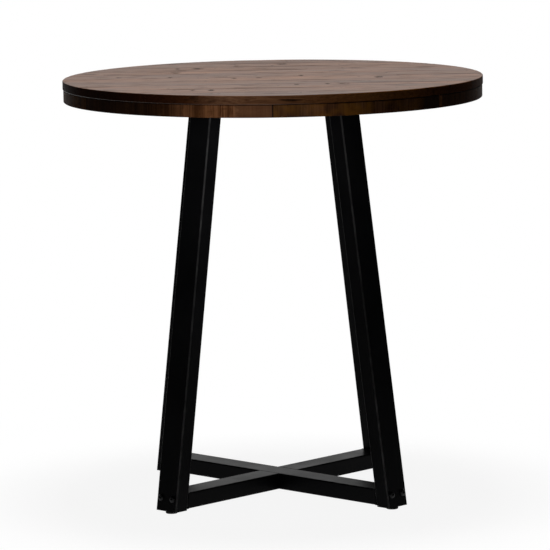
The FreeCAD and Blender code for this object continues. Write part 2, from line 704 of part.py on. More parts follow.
def make_stretcher():
    """One bar from corner to corner, and two half bars that butt against its sides."""
    long_bar = doc.addObject("PartDesign::Body", "LongBar")
    pad(long_bar, bar_section(long_bar), f"2 * {bar_end(BAR_BOTTOM)} + 2 * Sizes.tube_depth", "Symmetric")
    trim_bar(long_bar, ("-", ""))
    long_bar.Placement = turn_about_axis(CORNERS["front_right"])
    keep(long_bar, "stretcher_long")
    for corner in ("front_left", "rear_right"):
        body = doc.addObject("PartDesign::Body", f"HalfBar_{corner}")
        sketch = bar_section(body)
        sketch.setExpression("AttachmentOffset.Base.z", "Sizes.tube_width / 2")
        pad(body, sketch, bar_end(BAR_BOTTOM))
        trim_bar(body, ("",))
        body.Placement = turn_about_axis(CORNERS[corner])
        keep(body, f"stretcher_half_{corner}")


# Levelling feet.
def foot_places(level):
    """One place under each leg."""
    spot = FreeCAD.Placement(FreeCAD.Vector(number("Sizes.foot_circle_radius"), 0, number(level)),
                             FreeCAD.Rotation())
    return {corner: turn_about_axis(angle).multiply(spot) for corner, angle in CORNERS.items()}


def make_leveller(corner, place):
    """Threaded stem with a hexagon, and the pad that its flange turns in."""
    flange = "Sizes.flange_diameter / 2"
    stem = turned(f"Stem_{corner}", [
        ("0", STEM_FOOT), (flange, STEM_FOOT), (flange, STEM_HEX_FOOT), (STEM_RADIUS, STEM_HEX_FOOT),
        (STEM_RADIUS, f"{STEM_TOP} - Sizes.stem_tip"), (f"{STEM_RADIUS} - Sizes.stem_tip", STEM_TOP),
        ("0", STEM_TOP)])
    hex_sketch = new_sketch(stem, f"{stem.Name}Hexagon", "XY_Plane")
    hex_sketch.setExpression("AttachmentOffset.Base.z", STEM_HEX_FOOT)
    hexagon(hex_sketch, "Sizes.stem_flats")
    pad(stem, hex_sketch, "Sizes.stem_hex_height")
    stem.Placement = place
    keep(stem, f"leveller_stem_{corner}")

    outside, ease = "(Sizes.pad_diameter / 2)", "Sizes.pad_chamfer"
    neck, cavity = f"({STEM_HEX_RADIUS} + Sizes.neck_gap)", f"({flange} + Sizes.neck_gap)"
    lip = f"({STEM_HEX_FOOT} + Sizes.swivel_gap)"
    foot = turned(f"Pad_{corner}", [
        ("0", "0"), (f"{outside} - {ease}", "0"), (outside, ease), (outside, f"Sizes.pad_height - {ease}"),
        (f"{outside} - {ease}", "Sizes.pad_height"), (neck, "Sizes.pad_height"), (neck, lip),
        (cavity, lip), (cavity, "Sizes.pad_floor"), ("0", "Sizes.pad_floor")])
    foot.Placement = place
    keep(foot, f"leveller_pad_{corner}")


rim_holes, batten_holes = make_screws()
make_planks([rim_holes, batten_holes])
make_rim(rim_holes)
make_battens(batten_holes, make_plate_fasteners())
make_leg_fasteners()
make_stretcher()
for corner, angle in CORNERS.items():
    make_leg(corner, angle)
    make_top_plate(corner, angle)
    make_foot_plate(corner, angle)
    make_end_plate(corner, angle)
foot_nut = make_nut("FootNut", f"{STEM_RADIUS} + Sizes.thread_gap")
keep(copies(foot_nut, foot_places(NUT_LEVEL).values(), "FootNuts"), "foot_nuts")
for corner, place in foot_places("0").items():
    make_leveller(corner, place)
doc.recompute()

for item in doc.Objects:
    if "Invalid" in item.State or "Error" in item.State:
        raise RuntimeError(f"{item.Name} failed: {item.State}")
for item in sub_parts:
    if item.Shape.isNull() or not item.Shape.isValid():
        raise RuntimeError(f"{item.Label} has no valid shape")
os.makedirs("parts", exist_ok=True)
for item in sub_parts:
    item.Shape.exportStep(f"parts/{item.Label}.step")
    print(item.Label, len(item.Shape.Solids), "solids", round(item.Shape.Volume), "mm3")
print(len(sub_parts), "sub-parts")
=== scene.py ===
# %% [markdown]
# # A round counter height table
#
# The table has a planked wooden top with a built-up rim, four leaning legs of black steel tube, a crossed
# stretcher near the floor and a screw leveller under each leg. The CAD model already has every piece in
# its true place, in metres, so this lesson only dresses it: it loads the CAD frame, gives each piece its
# finish and replaces the pieces that need more detail than a solid model carries.

# %% Load the CAD frame
import math
import random

import bmesh
import bpy
from mathutils import Matrix, Vector


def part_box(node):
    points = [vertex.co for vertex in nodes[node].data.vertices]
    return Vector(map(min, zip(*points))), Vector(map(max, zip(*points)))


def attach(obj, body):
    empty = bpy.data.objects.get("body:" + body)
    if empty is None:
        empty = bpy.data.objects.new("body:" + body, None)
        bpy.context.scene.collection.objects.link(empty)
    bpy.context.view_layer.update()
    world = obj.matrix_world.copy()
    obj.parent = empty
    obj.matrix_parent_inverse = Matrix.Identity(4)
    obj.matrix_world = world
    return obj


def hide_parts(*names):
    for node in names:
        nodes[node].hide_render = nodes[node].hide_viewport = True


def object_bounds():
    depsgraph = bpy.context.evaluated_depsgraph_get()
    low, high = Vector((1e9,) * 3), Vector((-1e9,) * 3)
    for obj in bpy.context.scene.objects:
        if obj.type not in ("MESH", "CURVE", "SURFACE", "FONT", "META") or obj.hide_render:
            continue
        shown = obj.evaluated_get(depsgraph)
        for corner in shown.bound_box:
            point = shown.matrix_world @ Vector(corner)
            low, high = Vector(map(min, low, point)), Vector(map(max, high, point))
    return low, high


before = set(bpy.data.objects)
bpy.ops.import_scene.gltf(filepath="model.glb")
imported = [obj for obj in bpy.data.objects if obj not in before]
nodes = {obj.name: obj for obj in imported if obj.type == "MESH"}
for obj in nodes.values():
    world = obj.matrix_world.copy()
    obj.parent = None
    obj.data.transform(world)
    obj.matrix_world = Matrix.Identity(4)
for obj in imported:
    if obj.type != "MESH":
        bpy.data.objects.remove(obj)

scene = bpy.context.scene
cad_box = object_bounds()
print(len(nodes), "CAD nodes, box", [tuple(round(c, 4) for c in corner) for corner in cad_box])

# %% [markdown]
# ## Camera
#
# The photograph was taken from about 8.3 m away with a long lens, a little above the top and almost
# straight on. A long lens keeps upright edges nearly parallel. A camera is often aimed with a constraint,
# but here the place, the direction and a roll of less than a degree came from fitting the ellipses of the
# top and the edges of the legs to the photograph, so the camera is set with a matrix made from those
# three values.

# %% Camera
CAMERA_PLACE = Vector((-0.2258, -8.3289, 1.6258))
CAMERA_FORWARD = Vector((0.0267, 0.9903, -0.1364)).normalized()
CAMERA_ROLL = 0.015
CAMERA_LENS = 251.1
SENSOR_WIDTH = 36


def camera_matrix(place, forward, roll):
    """Matrix of a camera that looks forward, with its right side turned down by the roll in radians."""
    level_right = forward.cross(Vector((0, 0, 1))).normalized()
    level_up = level_right.cross(forward)
    right = level_right * math.cos(roll) - level_up * math.sin(roll)
    up = right.cross(forward)
    return Matrix.Translation(place) @ Matrix((right, up, -forward)).transposed().to_4x4()


camera_data = bpy.data.cameras.new("photo_camera")
camera_data.lens = CAMERA_LENS
camera_data.sensor_width = SENSOR_WIDTH
camera = bpy.data.objects.new("photo_camera", camera_data)
scene.collection.objects.link(camera)
camera.matrix_world = camera_matrix(CAMERA_PLACE, CAMERA_FORWARD, CAMERA_ROLL)
scene.camera = camera
scene.view_settings.view_transform = "Standard"
table_middle = (cad_box[0] + cad_box[1]) / 2
print("camera", round((CAMERA_PLACE - table_middle).length, 2), "m from the table's middle")

# %% [markdown]
# ## Helpers for node trees
#
# Every finish below is a small network of nodes, and so are the pieces made with Geometry Nodes. A
# network can be drawn by hand in the editor, but a script has to place its nodes, and one line for each
# socket would hide what the network does. These helpers add a node with its settings in one call: an
# input that is given another node's socket is linked, and any other value is written on the input itself.
# The sums that every network needs have helpers of their own.

# %% Node helpers
def add_node(tree, kind, inputs=None, **settings):
    """Add a node, set its properties, and link or write its inputs."""
    made = tree.nodes.new(kind)
    for name, value in settings.items():
        setattr(made, name, value)
    for name, value in (inputs or {}).items():
        if isinstance(value, bpy.types.NodeSocket):
            tree.links.new(value, made.inputs[name])
        else:
            made.inputs[name].default_value = value
    return made


def node_out(tree, kind, inputs=None, **settings):
    """Add a node and give its first output."""
    return add_node(tree, kind, inputs, **settings).outputs[0]


def split(tree, vector):
    """X, Y and Z of a vector."""
    return add_node(tree, "ShaderNodeSeparateXYZ", {0: vector}).outputs


def vector_of(tree, **parts):
    """Vector from its X, Y and Z; a part that isn't given is 0."""
    return node_out(tree, "ShaderNodeCombineXYZ", parts)


print("node helpers ready")


# %% Sums and spans
def calc(tree, operation, first, second=None, clamp=False):
    """Math node on sockets or numbers."""
    inputs = {0: first} if second is None else {0: first, 1: second}
    return node_out(tree, "ShaderNodeMath", inputs, operation=operation, use_clamp=clamp)


def plus(tree, first, second):
    """The first and the second added."""
    return calc(tree, "ADD", first, second)


def minus(tree, first, second):
    """The second taken from the first."""
    return calc(tree, "SUBTRACT", first, second)


def times(tree, first, second):
    """The first multiplied by the second."""
    return calc(tree, "MULTIPLY", first, second)


def span(tree, value, low, high, to_low=0.0, to_high=1.0, smooth=False):
    """Map Range node from low..high to to_low..to_high."""
    inputs = {"Value": value, "From Min": low, "From Max": high, "To Min": to_low, "To Max": to_high}
    kind = "SMOOTHSTEP" if smooth else "LINEAR"
    return node_out(tree, "ShaderNodeMapRange", inputs, interpolation_type=kind)


print("sums ready")

# %% [markdown]
# ## World
#
# The photograph has a plain white backdrop, and the room behind the camera is dark. A picture of a studio
# could light the table, but white and black are all that is needed here. Light Path tells the kinds of
# rays apart: the camera sees plain white, shiny surfaces see white only on the far side, and matt
# surfaces get a little even light. That keeps the backdrop white without more light on the table.

# %% World
WHITE = (1, 1, 1, 1)
EVEN_LIGHT = 0.014
BACKDROP_EDGES = (0.74, 0.98)
BACKDROP_LIGHT = (0.01, 1.0)


def background(tree, strength):
    """White light of the world."""
    return node_out(tree, "ShaderNodeBackground", {"Color": WHITE, "Strength": strength})


def mixed(tree, share, first, second):
    """Shader that is the first where the share is 0 and the second where it is 1."""
    return node_out(tree, "ShaderNodeMixShader", {0: share, 1: first, 2: second})


world = bpy.data.worlds.new("studio")
world.use_nodes = True
scene.world = world
tree = world.node_tree
tree.nodes.clear()
ray = add_node(tree, "ShaderNodeLightPath").outputs
heading = split(tree, add_node(tree, "ShaderNodeTexCoord").outputs["Generated"])["Y"]
backdrop = span(tree, heading, *BACKDROP_EDGES, *BACKDROP_LIGHT, smooth=True)
room = mixed(tree, ray["Is Glossy Ray"], background(tree, EVEN_LIGHT), background(tree, backdrop))
shown = calc(tree, "MAXIMUM", ray["Is Camera Ray"], ray["Is Transmission Ray"])
sky = mixed(tree, shown, room, background(tree, 1.0))
add_node(tree, "ShaderNodeOutputWorld", {"Surface": sky})
print("world:", len(tree.nodes), "nodes")

# %% [markdown]
# ## Lamps
#
# The light in the photograph is soft and comes from above, from a lamp no wider than the top, so that the
# legs stand in the top's shadow. A small lamp close to the front of the rim makes it brown in front and
# almost black at its shoulders; a grid narrows its spread, which keeps it off the legs. Two lamps from
# behind catch both ends of the rim. A tall, weak lamp beside the camera draws the thin bright lines on
# the rounded corners of the legs. All are area lamps rather than points, because only a lamp with a size
# gives soft shadows and broad highlights.

# %% Lamps
# Place, aim, width and height in metres, power in watts and spread in degrees.
LAMPS = {
    "overhead_softbox": ((0.0, 0.15, 3.2), (0.0, 0.0, 0.9), (0.9, 0.9), 74, 180),
    "rim_softbox": ((-0.02, -0.95, 0.90), (-0.13, -0.43, 0.88), (0.2, 0.2), 0.36, 80),
    "camera_strip": ((-1.2, -6.0, 1.0), (0.0, 0.0, 0.5), (0.5, 2.0), 6, 180),
    "rear_left_softbox": ((-1.9, 3.4, 1.2), (0.0, 0.0, 0.7), (1.0, 1.6), 6, 180),
    "rear_right_softbox": ((1.9, 3.4, 1.2), (0.0, 0.0, 0.7), (1.0, 1.6), 6, 180),
}


def add_softbox(name, place, aim, size, power, spread):
    """Rectangular lamp at a place, facing the aim."""
    lamp = bpy.data.lights.new(name, "AREA")
    lamp.shape = "RECTANGLE"
    lamp.size, lamp.size_y = size
    lamp.energy = power
    lamp.spread = math.radians(spread)
    softbox = bpy.data.objects.new(name, lamp)
    scene.collection.objects.link(softbox)
    softbox.location = place
    softbox.rotation_euler = (Vector(aim) - Vector(place)).to_track_quat("-Z", "Y").to_euler()
    softbox.visible_camera = False
    print(name, power, "W,", size, "m")


for name, settings in LAMPS.items():
    add_softbox(name, *settings)

# %% [markdown]
# ## Floor
#
# The floor in the photograph is as white as the backdrop. A white plane under lamps never comes out
# exactly so, and more light would spoil the table. This floor is a pale disc that adds just enough of its
# own white to reach the backdrop's, so only the table's shadow shows on it, and farther out it is plain
# white. Matt surfaces meet a darker disc, which throws little light up at them. Seen from below the disc
# lets the view through, so the underside can be looked at.

# %% Floor disc
FLOOR_RADIUS = 3.0
FLOOR_SIDES = 96

floor_mesh = bpy.data.meshes.new("floor")
drawn = bmesh.new()
bmesh.ops.create_circle(drawn, cap_ends=True, segments=FLOOR_SIDES, radius=FLOOR_RADIUS)
drawn.to_mesh(floor_mesh)
drawn.free()
floor = bpy.data.objects.new("floor", floor_mesh)
scene.collection.objects.link(floor)
print("floor disc", FLOOR_RADIUS, "m in radius")

# %% Floor paint
SHADOW_REACH = (0.55, 1.2)
FLOOR_GREY = (0.14, 0.14, 0.14, 1)
FLOOR_GLOW = 0.905
BOUNCE_GREY = (0.11, 0.11, 0.11, 1)


def matt(tree, colour):
    """Shader of a plain matt surface."""
    return node_out(tree, "ShaderNodeBsdfDiffuse", {"Color": colour})


def glow(tree, strength):
    """Shader that gives off white light."""
    return node_out(tree, "ShaderNodeEmission", {"Color": WHITE, "Strength": strength})


floor_paint = bpy.data.materials.new("studio_floor")
floor_paint.use_nodes = True
tree = floor_paint.node_tree
tree.nodes.clear()
ray = add_node(tree, "ShaderNodeLightPath").outputs
place = add_node(tree, "ShaderNodeTexCoord").outputs["Object"]
distance = add_node(tree, "ShaderNodeVectorMath", {0: place}, operation="LENGTH").outputs["Value"]
open_floor = span(tree, distance, *SHADOW_REACH, smooth=True)
shaded = node_out(tree, "ShaderNodeAddShader", {0: matt(tree, FLOOR_GREY), 1: glow(tree, FLOOR_GLOW)})
photographed = mixed(tree, open_floor, shaded, glow(tree, 1.0))
seen = calc(tree, "MAXIMUM", ray["Is Camera Ray"], ray["Is Transmission Ray"])
seen = calc(tree, "MAXIMUM", seen, ray["Is Glossy Ray"])
upper = mixed(tree, seen, matt(tree, BOUNCE_GREY), photographed)
below = add_node(tree, "ShaderNodeNewGeometry").outputs["Backfacing"]
sheet = mixed(tree, below, upper, node_out(tree, "ShaderNodeBsdfTransparent"))
add_node(tree, "ShaderNodeOutputMaterial", {"Surface": sheet})
floor_mesh.materials.append(floor_paint)
print("floor paint:", len(tree.nodes), "nodes")

# %% [markdown]
# ## Stained wood
#
# The boards are a mid-toned hardwood under a dark brown stain and a satin varnish. Four things make
# stained wood read as wood: broad growth rings that run along the board, fine fibres, short dark pores,
# and patches where the stain sank in more. All of them are long in the grain's direction and narrow
# across it. A photograph of a board could be laid on the faces, but it would end at their edges; ordinary
# noise and wave textures on coordinates that are squeezed along the grain go right through the wood.
# Object coordinates keep the figure in place when the piece is moved.

# %% Texture helpers
# Most values of a noise texture lie between these.
NOISE_RANGE = (0.3, 0.7)


def squeezed(tree, place, scale, turn=(0, 0, 0), shift=(0, 0, 0)):
    """Object coordinates scaled, then turned, then shifted."""
    inputs = {"Vector": place, "Scale": scale, "Rotation": turn, "Location": shift}
    return node_out(tree, "ShaderNodeMapping", inputs)


def noise(tree, vector, scale=1.0, detail=2.0, roughness=0.5, distortion=0.0):
    """Noise texture's grey value."""
    inputs = {"Vector": vector, "Scale": scale, "Detail": detail, "Roughness": roughness,
              "Distortion": distortion}
    return add_node(tree, "ShaderNodeTexNoise", inputs).outputs["Fac"]


def tones(tree, value, stops):
    """Colour ramp with the given stops of place and colour."""
    ramp = add_node(tree, "ShaderNodeValToRGB", {"Fac": value})
    while len(ramp.color_ramp.elements) < len(stops):
        ramp.color_ramp.elements.new(0.5)
    for element, (place, colour) in zip(ramp.color_ramp.elements, stops):
        element.position = place
        element.color = (*colour, 1)
    return ramp.outputs["Color"]


def shade(tree, colour, factor):
    """Colour times a grey factor."""
    return node_out(tree, "ShaderNodeVectorMath", {0: colour, 3: factor}, operation="SCALE")


def mix_colours(tree, share, first, second):
    """Colour that is the first where the share is 0 and the second where it is 1."""
    return add_node(tree, "ShaderNodeMix", {0: share, 6: first, 7: second}, data_type="RGBA").outputs[2]


print("texture helpers ready, noise between", *NOISE_RANGE)


# %% Start and end of a finish
def new_finish(name):
    """Empty material, with its node tree, its Object coordinates and its surface shader."""
    finish = bpy.data.materials.new(name)
    finish.use_nodes = True
    tree = finish.node_tree
    tree.nodes.clear()
    surface = add_node(tree, "ShaderNodeBsdfPrincipled")
    add_node(tree, "ShaderNodeOutputMaterial", {"Surface": surface.outputs[0]})
    place = add_node(tree, "ShaderNodeTexCoord").outputs["Object"]
    return finish, tree, place, surface


def connect(tree, surface, colour, roughness, height, depth, strength):
    """Give the surface its colour, its roughness and the bump of a height field."""
    bump = node_out(tree, "ShaderNodeBump", {"Height": height, "Distance": depth, "Strength": strength})
    for name, socket in (("Base Color", colour), ("Roughness", roughness), ("Normal", bump)):
        tree.links.new(socket, surface.inputs[name])


print("finish helpers ready")

# %% [markdown]
# ## One board's wood
#
# The texture is solid: on a board's end the same network shows the cut rings, as real end grain does. The
# heart of the tree lies a few centimetres under each board's middle and is not quite parallel to it,
# which makes the rings run out of the face as long arches. Each board draws its own part of the tree from
# a random generator with a fixed seed, so that no two boards share a figure and every run gives the same
# table.

# %% Wood layers
# A wave texture at scale 1 has waves of this length, in metres.
UNIT_WAVE = 0.314
RING_STRETCH = 0.16
RING_WAVES = {"Distortion": 6.0, "Detail": 3.0, "Detail Scale": 0.6, "Detail Roughness": 0.55}
# Noise for each layer: its scale along the grain, across it and through it, and its settings.
GRAIN = {
    "fibres": ((9, 420, 420), {"detail": 3.0, "roughness": 0.6}),
    "pores": ((40, 1300, 1300), {"detail": 1.0}),
    "patches": ((3.5, 16, 16), {"detail": 3.0, "distortion": 0.4}),
}
FLAWS = {"streaks": ((2.6, 70, 70), {"detail": 2.0}), "dents": ((16, 95, 95), {"detail": 1.0})}


def wood_layers(tree, place, seed, heart, turn=0.0):
    """Rings, fibres, pores, stain patches, dark streaks and dents of one board, as grey values."""
    pick = random.Random(seed)
    far = [pick.uniform(-40, 40) for axis in range(3)]
    along = squeezed(tree, place, (1, 1, 1), turn=(0, 0, turn)) if turn else place
    centre = (0, -heart[0] + pick.uniform(-0.03, 0.03), -heart[1] + pick.uniform(0.025, 0.07))
    tilt = (0, pick.uniform(-0.5, 0.5), pick.uniform(-0.3, 0.3))
    ring_width = pick.uniform(0.006, 0.011)
    phase = pick.uniform(0, 6)
    ring_place = squeezed(tree, squeezed(tree, along, (1, 1, 1), shift=centre), (RING_STRETCH, 1, 1), tilt)
    waves = {"Vector": ring_place, "Scale": UNIT_WAVE / ring_width, "Phase Offset": phase, **RING_WAVES}
    rings = add_node(tree, "ShaderNodeTexWave", waves, wave_type="RINGS", rings_direction="X",
                     wave_profile="SAW")
    layers = {"rings": rings.outputs["Fac"]}
    for kinds, shift in ((GRAIN, far), (FLAWS, far[::-1])):
        for name, (scale, settings) in kinds.items():
            layers[name] = noise(tree, squeezed(tree, along, scale, shift=shift), **settings)
    return layers


print("wood layers:", 1 + len(GRAIN) + len(FLAWS))

# %% [markdown]
# ## Edge and knots of the boards
#
# The round outside is sawn across the boards, so it takes more stain and less varnish. From the table's left
# to its right it has a warmer stain tint, with painted shade towards both ends and a painted greyish
# highlight left of the front. Its lower arris caught varnish on the left, and on the right a thin shadow is
# painted on it. These could be separate material slots, but then their borders would be sharp; the distance
# from the table's axis and the level tell the network where it is, and let each blend into the next. Knots
# are spots at chosen places, because the eye knows a real top by its few large ones: each is a distance in
# squeezed coordinates, with noise on it to make the outline ragged.

# %% Edge masks
TOP_LEVEL = cad_box[1].z
TOP_RADIUS = cad_box[1].x
BOARD_THICKNESS = 0.019
BOARD_UNDERSIDE = TOP_LEVEL - BOARD_THICKNESS
# Where each mask begins and where it is full: inwards from the outline, up from the underside and along X.
EDGE_DEPTH = (0.0014, 0.0005)
ARRIS_DEPTH = (0.0018, 0.0013)
ARRIS_RISE = (0.0018, 0.0008)
ARRIS_LEFT = (0.12, -0.05)


def outer_edge(tree, place):
    """Masks of the round outside, and of its lower arris on the varnished left and on the right, where a
    shadow is painted.
    """
    x, y, z = split(tree, place)
    radius = calc(tree, "SQRT", plus(tree, calc(tree, "POWER", x, 2.0), calc(tree, "POWER", y, 2.0)))
    edge = span(tree, radius, *[TOP_RADIUS - depth for depth in EDGE_DEPTH])
    low = span(tree, z, *[BOARD_UNDERSIDE + rise for rise in ARRIS_RISE])
    arris = times(tree, low, span(tree, radius, *[TOP_RADIUS - depth for depth in ARRIS_DEPTH]))
    left = span(tree, x, *ARRIS_LEFT)
    return edge, times(tree, arris, left), times(tree, arris, minus(tree, 1.0, left))


print("top", round(2 * TOP_RADIUS, 4), "m across at", round(TOP_LEVEL, 4), "m")

# %% Knots
# Knots on the upper face, by the number of their board from the front, counted from 0: X and Y of the middle,
# half length along the grain and half width across it, in metres.
PIN_KNOT = (0.007, 0.013)
FACE_KNOTS = {
    1: [(-0.137, -0.307, 0.010, 0.018), (-0.176, -0.300, *PIN_KNOT)],
    2: [(0.145, -0.187, 0.015, 0.022), (0.111, -0.195, *PIN_KNOT), (0.046, -0.200, *PIN_KNOT)],
    4: [(0.228, -0.052, 0.011, 0.024), (-0.084, -0.024, *PIN_KNOT), (-0.031, -0.022, *PIN_KNOT)],
    5: [(-0.336, 0.039, *PIN_KNOT), (-0.223, 0.022, *PIN_KNOT), (0.062, 0.022, *PIN_KNOT)],
    6: [(-0.210, 0.140, 0.012, 0.019)],
    7: [(-0.160, 0.248, 0.018, 0.018), (-0.206, 0.245, *PIN_KNOT)],
    8: [(-0.072, 0.300, *PIN_KNOT), (0.030, 0.330, 0.016, 0.021)],
}
KNOT_DEPTH = 0.01
KNOTS = {board: [((x, y, TOP_LEVEL), (length, width, KNOT_DEPTH)) for x, y, length, width in knots]
         for board, knots in FACE_KNOTS.items()}
# One more lies on the sawn edge of the first board: middle and half sizes.
KNOTS[0] = [((0.022, -0.455, TOP_LEVEL - 0.0099), (0.030, 0.020, 0.0035))]
KNOT_FADE = (1.0, 0.35)
KNOT_FRINGE = 0.4


def knot_marks(tree, place, knots):
    """Mask of soft dark spots at the knots' places."""
    marks = 0.0
    for middle, half in knots:
        scaled = squeezed(tree, place, [1 / h for h in half])
        local = [m / h for m, h in zip(middle, half)]
        away = add_node(tree, "ShaderNodeVectorMath", {0: scaled, 1: local}, operation="DISTANCE")
        uneven = noise(tree, scaled, scale=1.6, detail=3.0)
        fringe = span(tree, uneven, *NOISE_RANGE, -KNOT_FRINGE, KNOT_FRINGE)
        ragged = plus(tree, away.outputs["Value"], fringe)
        marks = calc(tree, "MAXIMUM", span(tree, ragged, *KNOT_FADE), marks)
    return marks


print(sum(len(knots) for knots in KNOTS.values()), "knots on", len(KNOTS), "boards")

# %% [markdown]
# ## The boards' finish
#
# Each board of the top gets its own material from one function, because no two boards come from the same
# tree and the eye finds a repeated figure at once. Worm holes, pressed dents, knots and dark mineral
# streaks are what makes this top look used. Where two boards meet, the stain gathered in the open
# stretches of the joint: the board pieces carry that as an attribute named joint_stain, which Geometry
# Nodes writes further down. Each mark darkens the stain, takes some of the shine and changes the
# roughness, by the shares in the tables below. Painting the marks on an image would tie them to one
# table's layout; masks follow the boards.

# %% Marks on a board
# The values of a layer between which its mask goes from none to full.
PORES = (0.60, 0.70)
STREAKS = (0.60, 0.70)
DENTS = (0.62, 0.72)
WORM_HOLES = (0.085, 0.06)
WORM_HOLE_SCALE = 22.0


def board_marks(tree, place, layer, knots):
    """Masks of everything that marks a board's face and its outside."""
    edge, arris, seam = outer_edge(tree, place)
    face = minus(tree, 1.0, edge)
    cells = add_node(tree, "ShaderNodeTexVoronoi", {"Vector": place, "Scale": WORM_HOLE_SCALE})
    return {
        "edge": edge, "arris": arris, "seam": seam,
        "pores": span(tree, layer["pores"], *PORES),
        "streaks": span(tree, layer["streaks"], *STREAKS),
        "dents": times(tree, span(tree, layer["dents"], *DENTS), face),
        "holes": times(tree, span(tree, cells.outputs["Distance"], *WORM_HOLES), face),
        "knots": knot_marks(tree, place, knots),
        "joint": add_node(tree, "ShaderNodeAttribute", attribute_name="joint_stain").outputs["Fac"],
    }


def weakened(tree, value, marks, left):
    """Value of which only a share is left where each mark is full."""
    for name, share in left.items():
        value = times(tree, value, span(tree, marks[name], 0, 1, 1.0, share))
    return value


print("marks ready")

# %% Colour of a board
STAIN_TONES = [(0.26, (0.050, 0.020, 0.009)), (0.50, (0.122, 0.057, 0.030)), (0.78, (0.205, 0.104, 0.059))]
# Factors on the sawn edge, from the table's left to its right: a warmer stain tint, with painted shade
# towards both ends and a painted greyish highlight left of the front.
EDGE_STAIN_AND_LIGHT = [(0.14, (0.10, 0.06, 0.04)), (0.29, (0.24, 0.15, 0.08)), (0.38, (0.68, 0.64, 0.58)),
              (0.55, (0.72, 0.62, 0.42)), (0.80, (1.00, 0.76, 0.30)), (0.90, (0.35, 0.25, 0.16))]
# Weights of the layers in the figure; the rings have one for the faces and one for the edge.
FACE_RINGS, EDGE_RINGS = 0.26, 0.10
STAIN_PATCHES = 0.74
FIBRE_RANGE = (0.25, 0.75)
FIBRE_TONES = (-0.16, 0.16)
EDGE_LIFT = 0.19
# What is left of the colour where a mark is full; the seam, on the right of the lower arris, is a painted
# shadow.
DARKENED = {"pores": 0.72, "streaks": 0.55, "dents": 0.40, "holes": 0.10, "knots": 0.16, "joint": 0.06,
            "seam": 0.15}


def board_colour(tree, place, layer, marks, brightness):
    """Stained figure, tinted along the sawn edge with painted shade and a painted highlight over a stain
    tint, and darkened by the marks, one of which is a painted shadow.
    """
    edge = marks["edge"]
    bands = times(tree, layer["rings"], span(tree, edge, 0, 1, FACE_RINGS, EDGE_RINGS))
    figure = plus(tree, bands, times(tree, layer["patches"], STAIN_PATCHES))
    figure = plus(tree, figure, span(tree, layer["fibres"], *FIBRE_RANGE, *FIBRE_TONES))
    figure = plus(tree, figure, times(tree, edge, EDGE_LIFT))
    from_left = span(tree, split(tree, place)["X"], -TOP_RADIUS, TOP_RADIUS)
    # The sawn edge's tint carries painted shade towards both ends and a painted highlight left of the front.
    edge_tint_and_light = mix_colours(tree, edge, WHITE, tones(tree, from_left, EDGE_STAIN_AND_LIGHT))
    tinted = {0: tones(tree, figure, STAIN_TONES), 1: edge_tint_and_light}
    colour = node_out(tree, "ShaderNodeVectorMath", tinted, operation="MULTIPLY")
    return shade(tree, colour, times(tree, weakened(tree, 1.0, marks, DARKENED), brightness))


print(len(DARKENED), "marks darken the stain")

# %% Board finish
VARNISH_ROUGHNESS = (0.44, 0.52)
# What a full mark adds to the roughness, and how deep it lies as a share of the bump's depth.
ROUGHENED = {"joint": 0.35, "dents": 0.14, "streaks": 0.10, "knots": 0.20, "edge": 0.22, "arris": -0.5}
HOLLOWED = {"pores": 0.10, "dents": 0.9, "holes": 1.0}
FIBRE_HEIGHT = 0.12
BOARD_BUMP = (0.0004, 0.6)
# Specular level of the face, the edge and the varnished arris, and what is left of it where a mark is full.
FACE_SHINE, EDGE_SHINE, ARRIS_SHINE = 0.32, 0.03, 0.7
DULLED = {"seam": 0.03, "knots": 0.45, "holes": 0.20, "dents": 0.50, "joint": 0.02}


def board_finish(name, seed, middle, brightness, knots):
    """Dark stained board with dents, worm holes, knots and stain in its joints."""
    finish, tree, place, surface = new_finish(name)
    layer = wood_layers(tree, place, seed, (middle, TOP_LEVEL))
    marks = board_marks(tree, place, layer, knots)
    roughness = span(tree, layer["patches"], *NOISE_RANGE, *VARNISH_ROUGHNESS)
    for mark, more in ROUGHENED.items():
        roughness = plus(tree, roughness, times(tree, marks[mark], more))
    height = times(tree, layer["fibres"], FIBRE_HEIGHT)
    for mark, depth in HOLLOWED.items():
        height = minus(tree, height, times(tree, marks[mark], depth))
    height = times(tree, height, calc(tree, "SUBTRACT", 1.0, marks["arris"], clamp=True))
    colour = board_colour(tree, place, layer, marks, brightness)
    connect(tree, surface, colour, roughness, height, *BOARD_BUMP)
    shine = span(tree, marks["edge"], 0, 1, FACE_SHINE, EDGE_SHINE)
    shine = plus(tree, shine, times(tree, marks["arris"], ARRIS_SHINE))
    tree.links.new(weakened(tree, shine, marks, DULLED), surface.inputs["Specular IOR Level"])
    return finish


BOARD_BRIGHTNESS = (0.94, 1.06, 1.12, 0.92, 1.10, 0.97, 1.14, 0.93, 1.05, 0.86)
BOARD_COUNT = len(BOARD_BRIGHTNESS)
BOARD_WIDTH = 2 * TOP_RADIUS / BOARD_COUNT
BOARD_SEED = 11
board_finishes = []
for index, level in enumerate(BOARD_BRIGHTNESS):
    middle = (index + 0.5) * BOARD_WIDTH - TOP_RADIUS
    board_finishes.append(board_finish(f"board_{index + 1:02d}_stain", BOARD_SEED + index, middle, level,
                                       KNOTS.get(index, ())))
print(len(board_finishes), "board finishes,", len(board_finishes[0].node_tree.nodes), "nodes in the first")

# %% [markdown]
# ## Geometry Nodes, run once and kept as a mesh
#
# A piece whose shape follows a rule is made by a Geometry Nodes tree. The tree has named inputs for its
# sizes; the modifier gets their values by each input's identifier before anything is evaluated. The
# modifier could stay on the piece, but the finished part travels to programs that have no such trees, so
# the result is kept as a plain mesh. Doubles are merged and the normals are turned outwards, and the
# count of open edges is printed, because a closed shape has none.

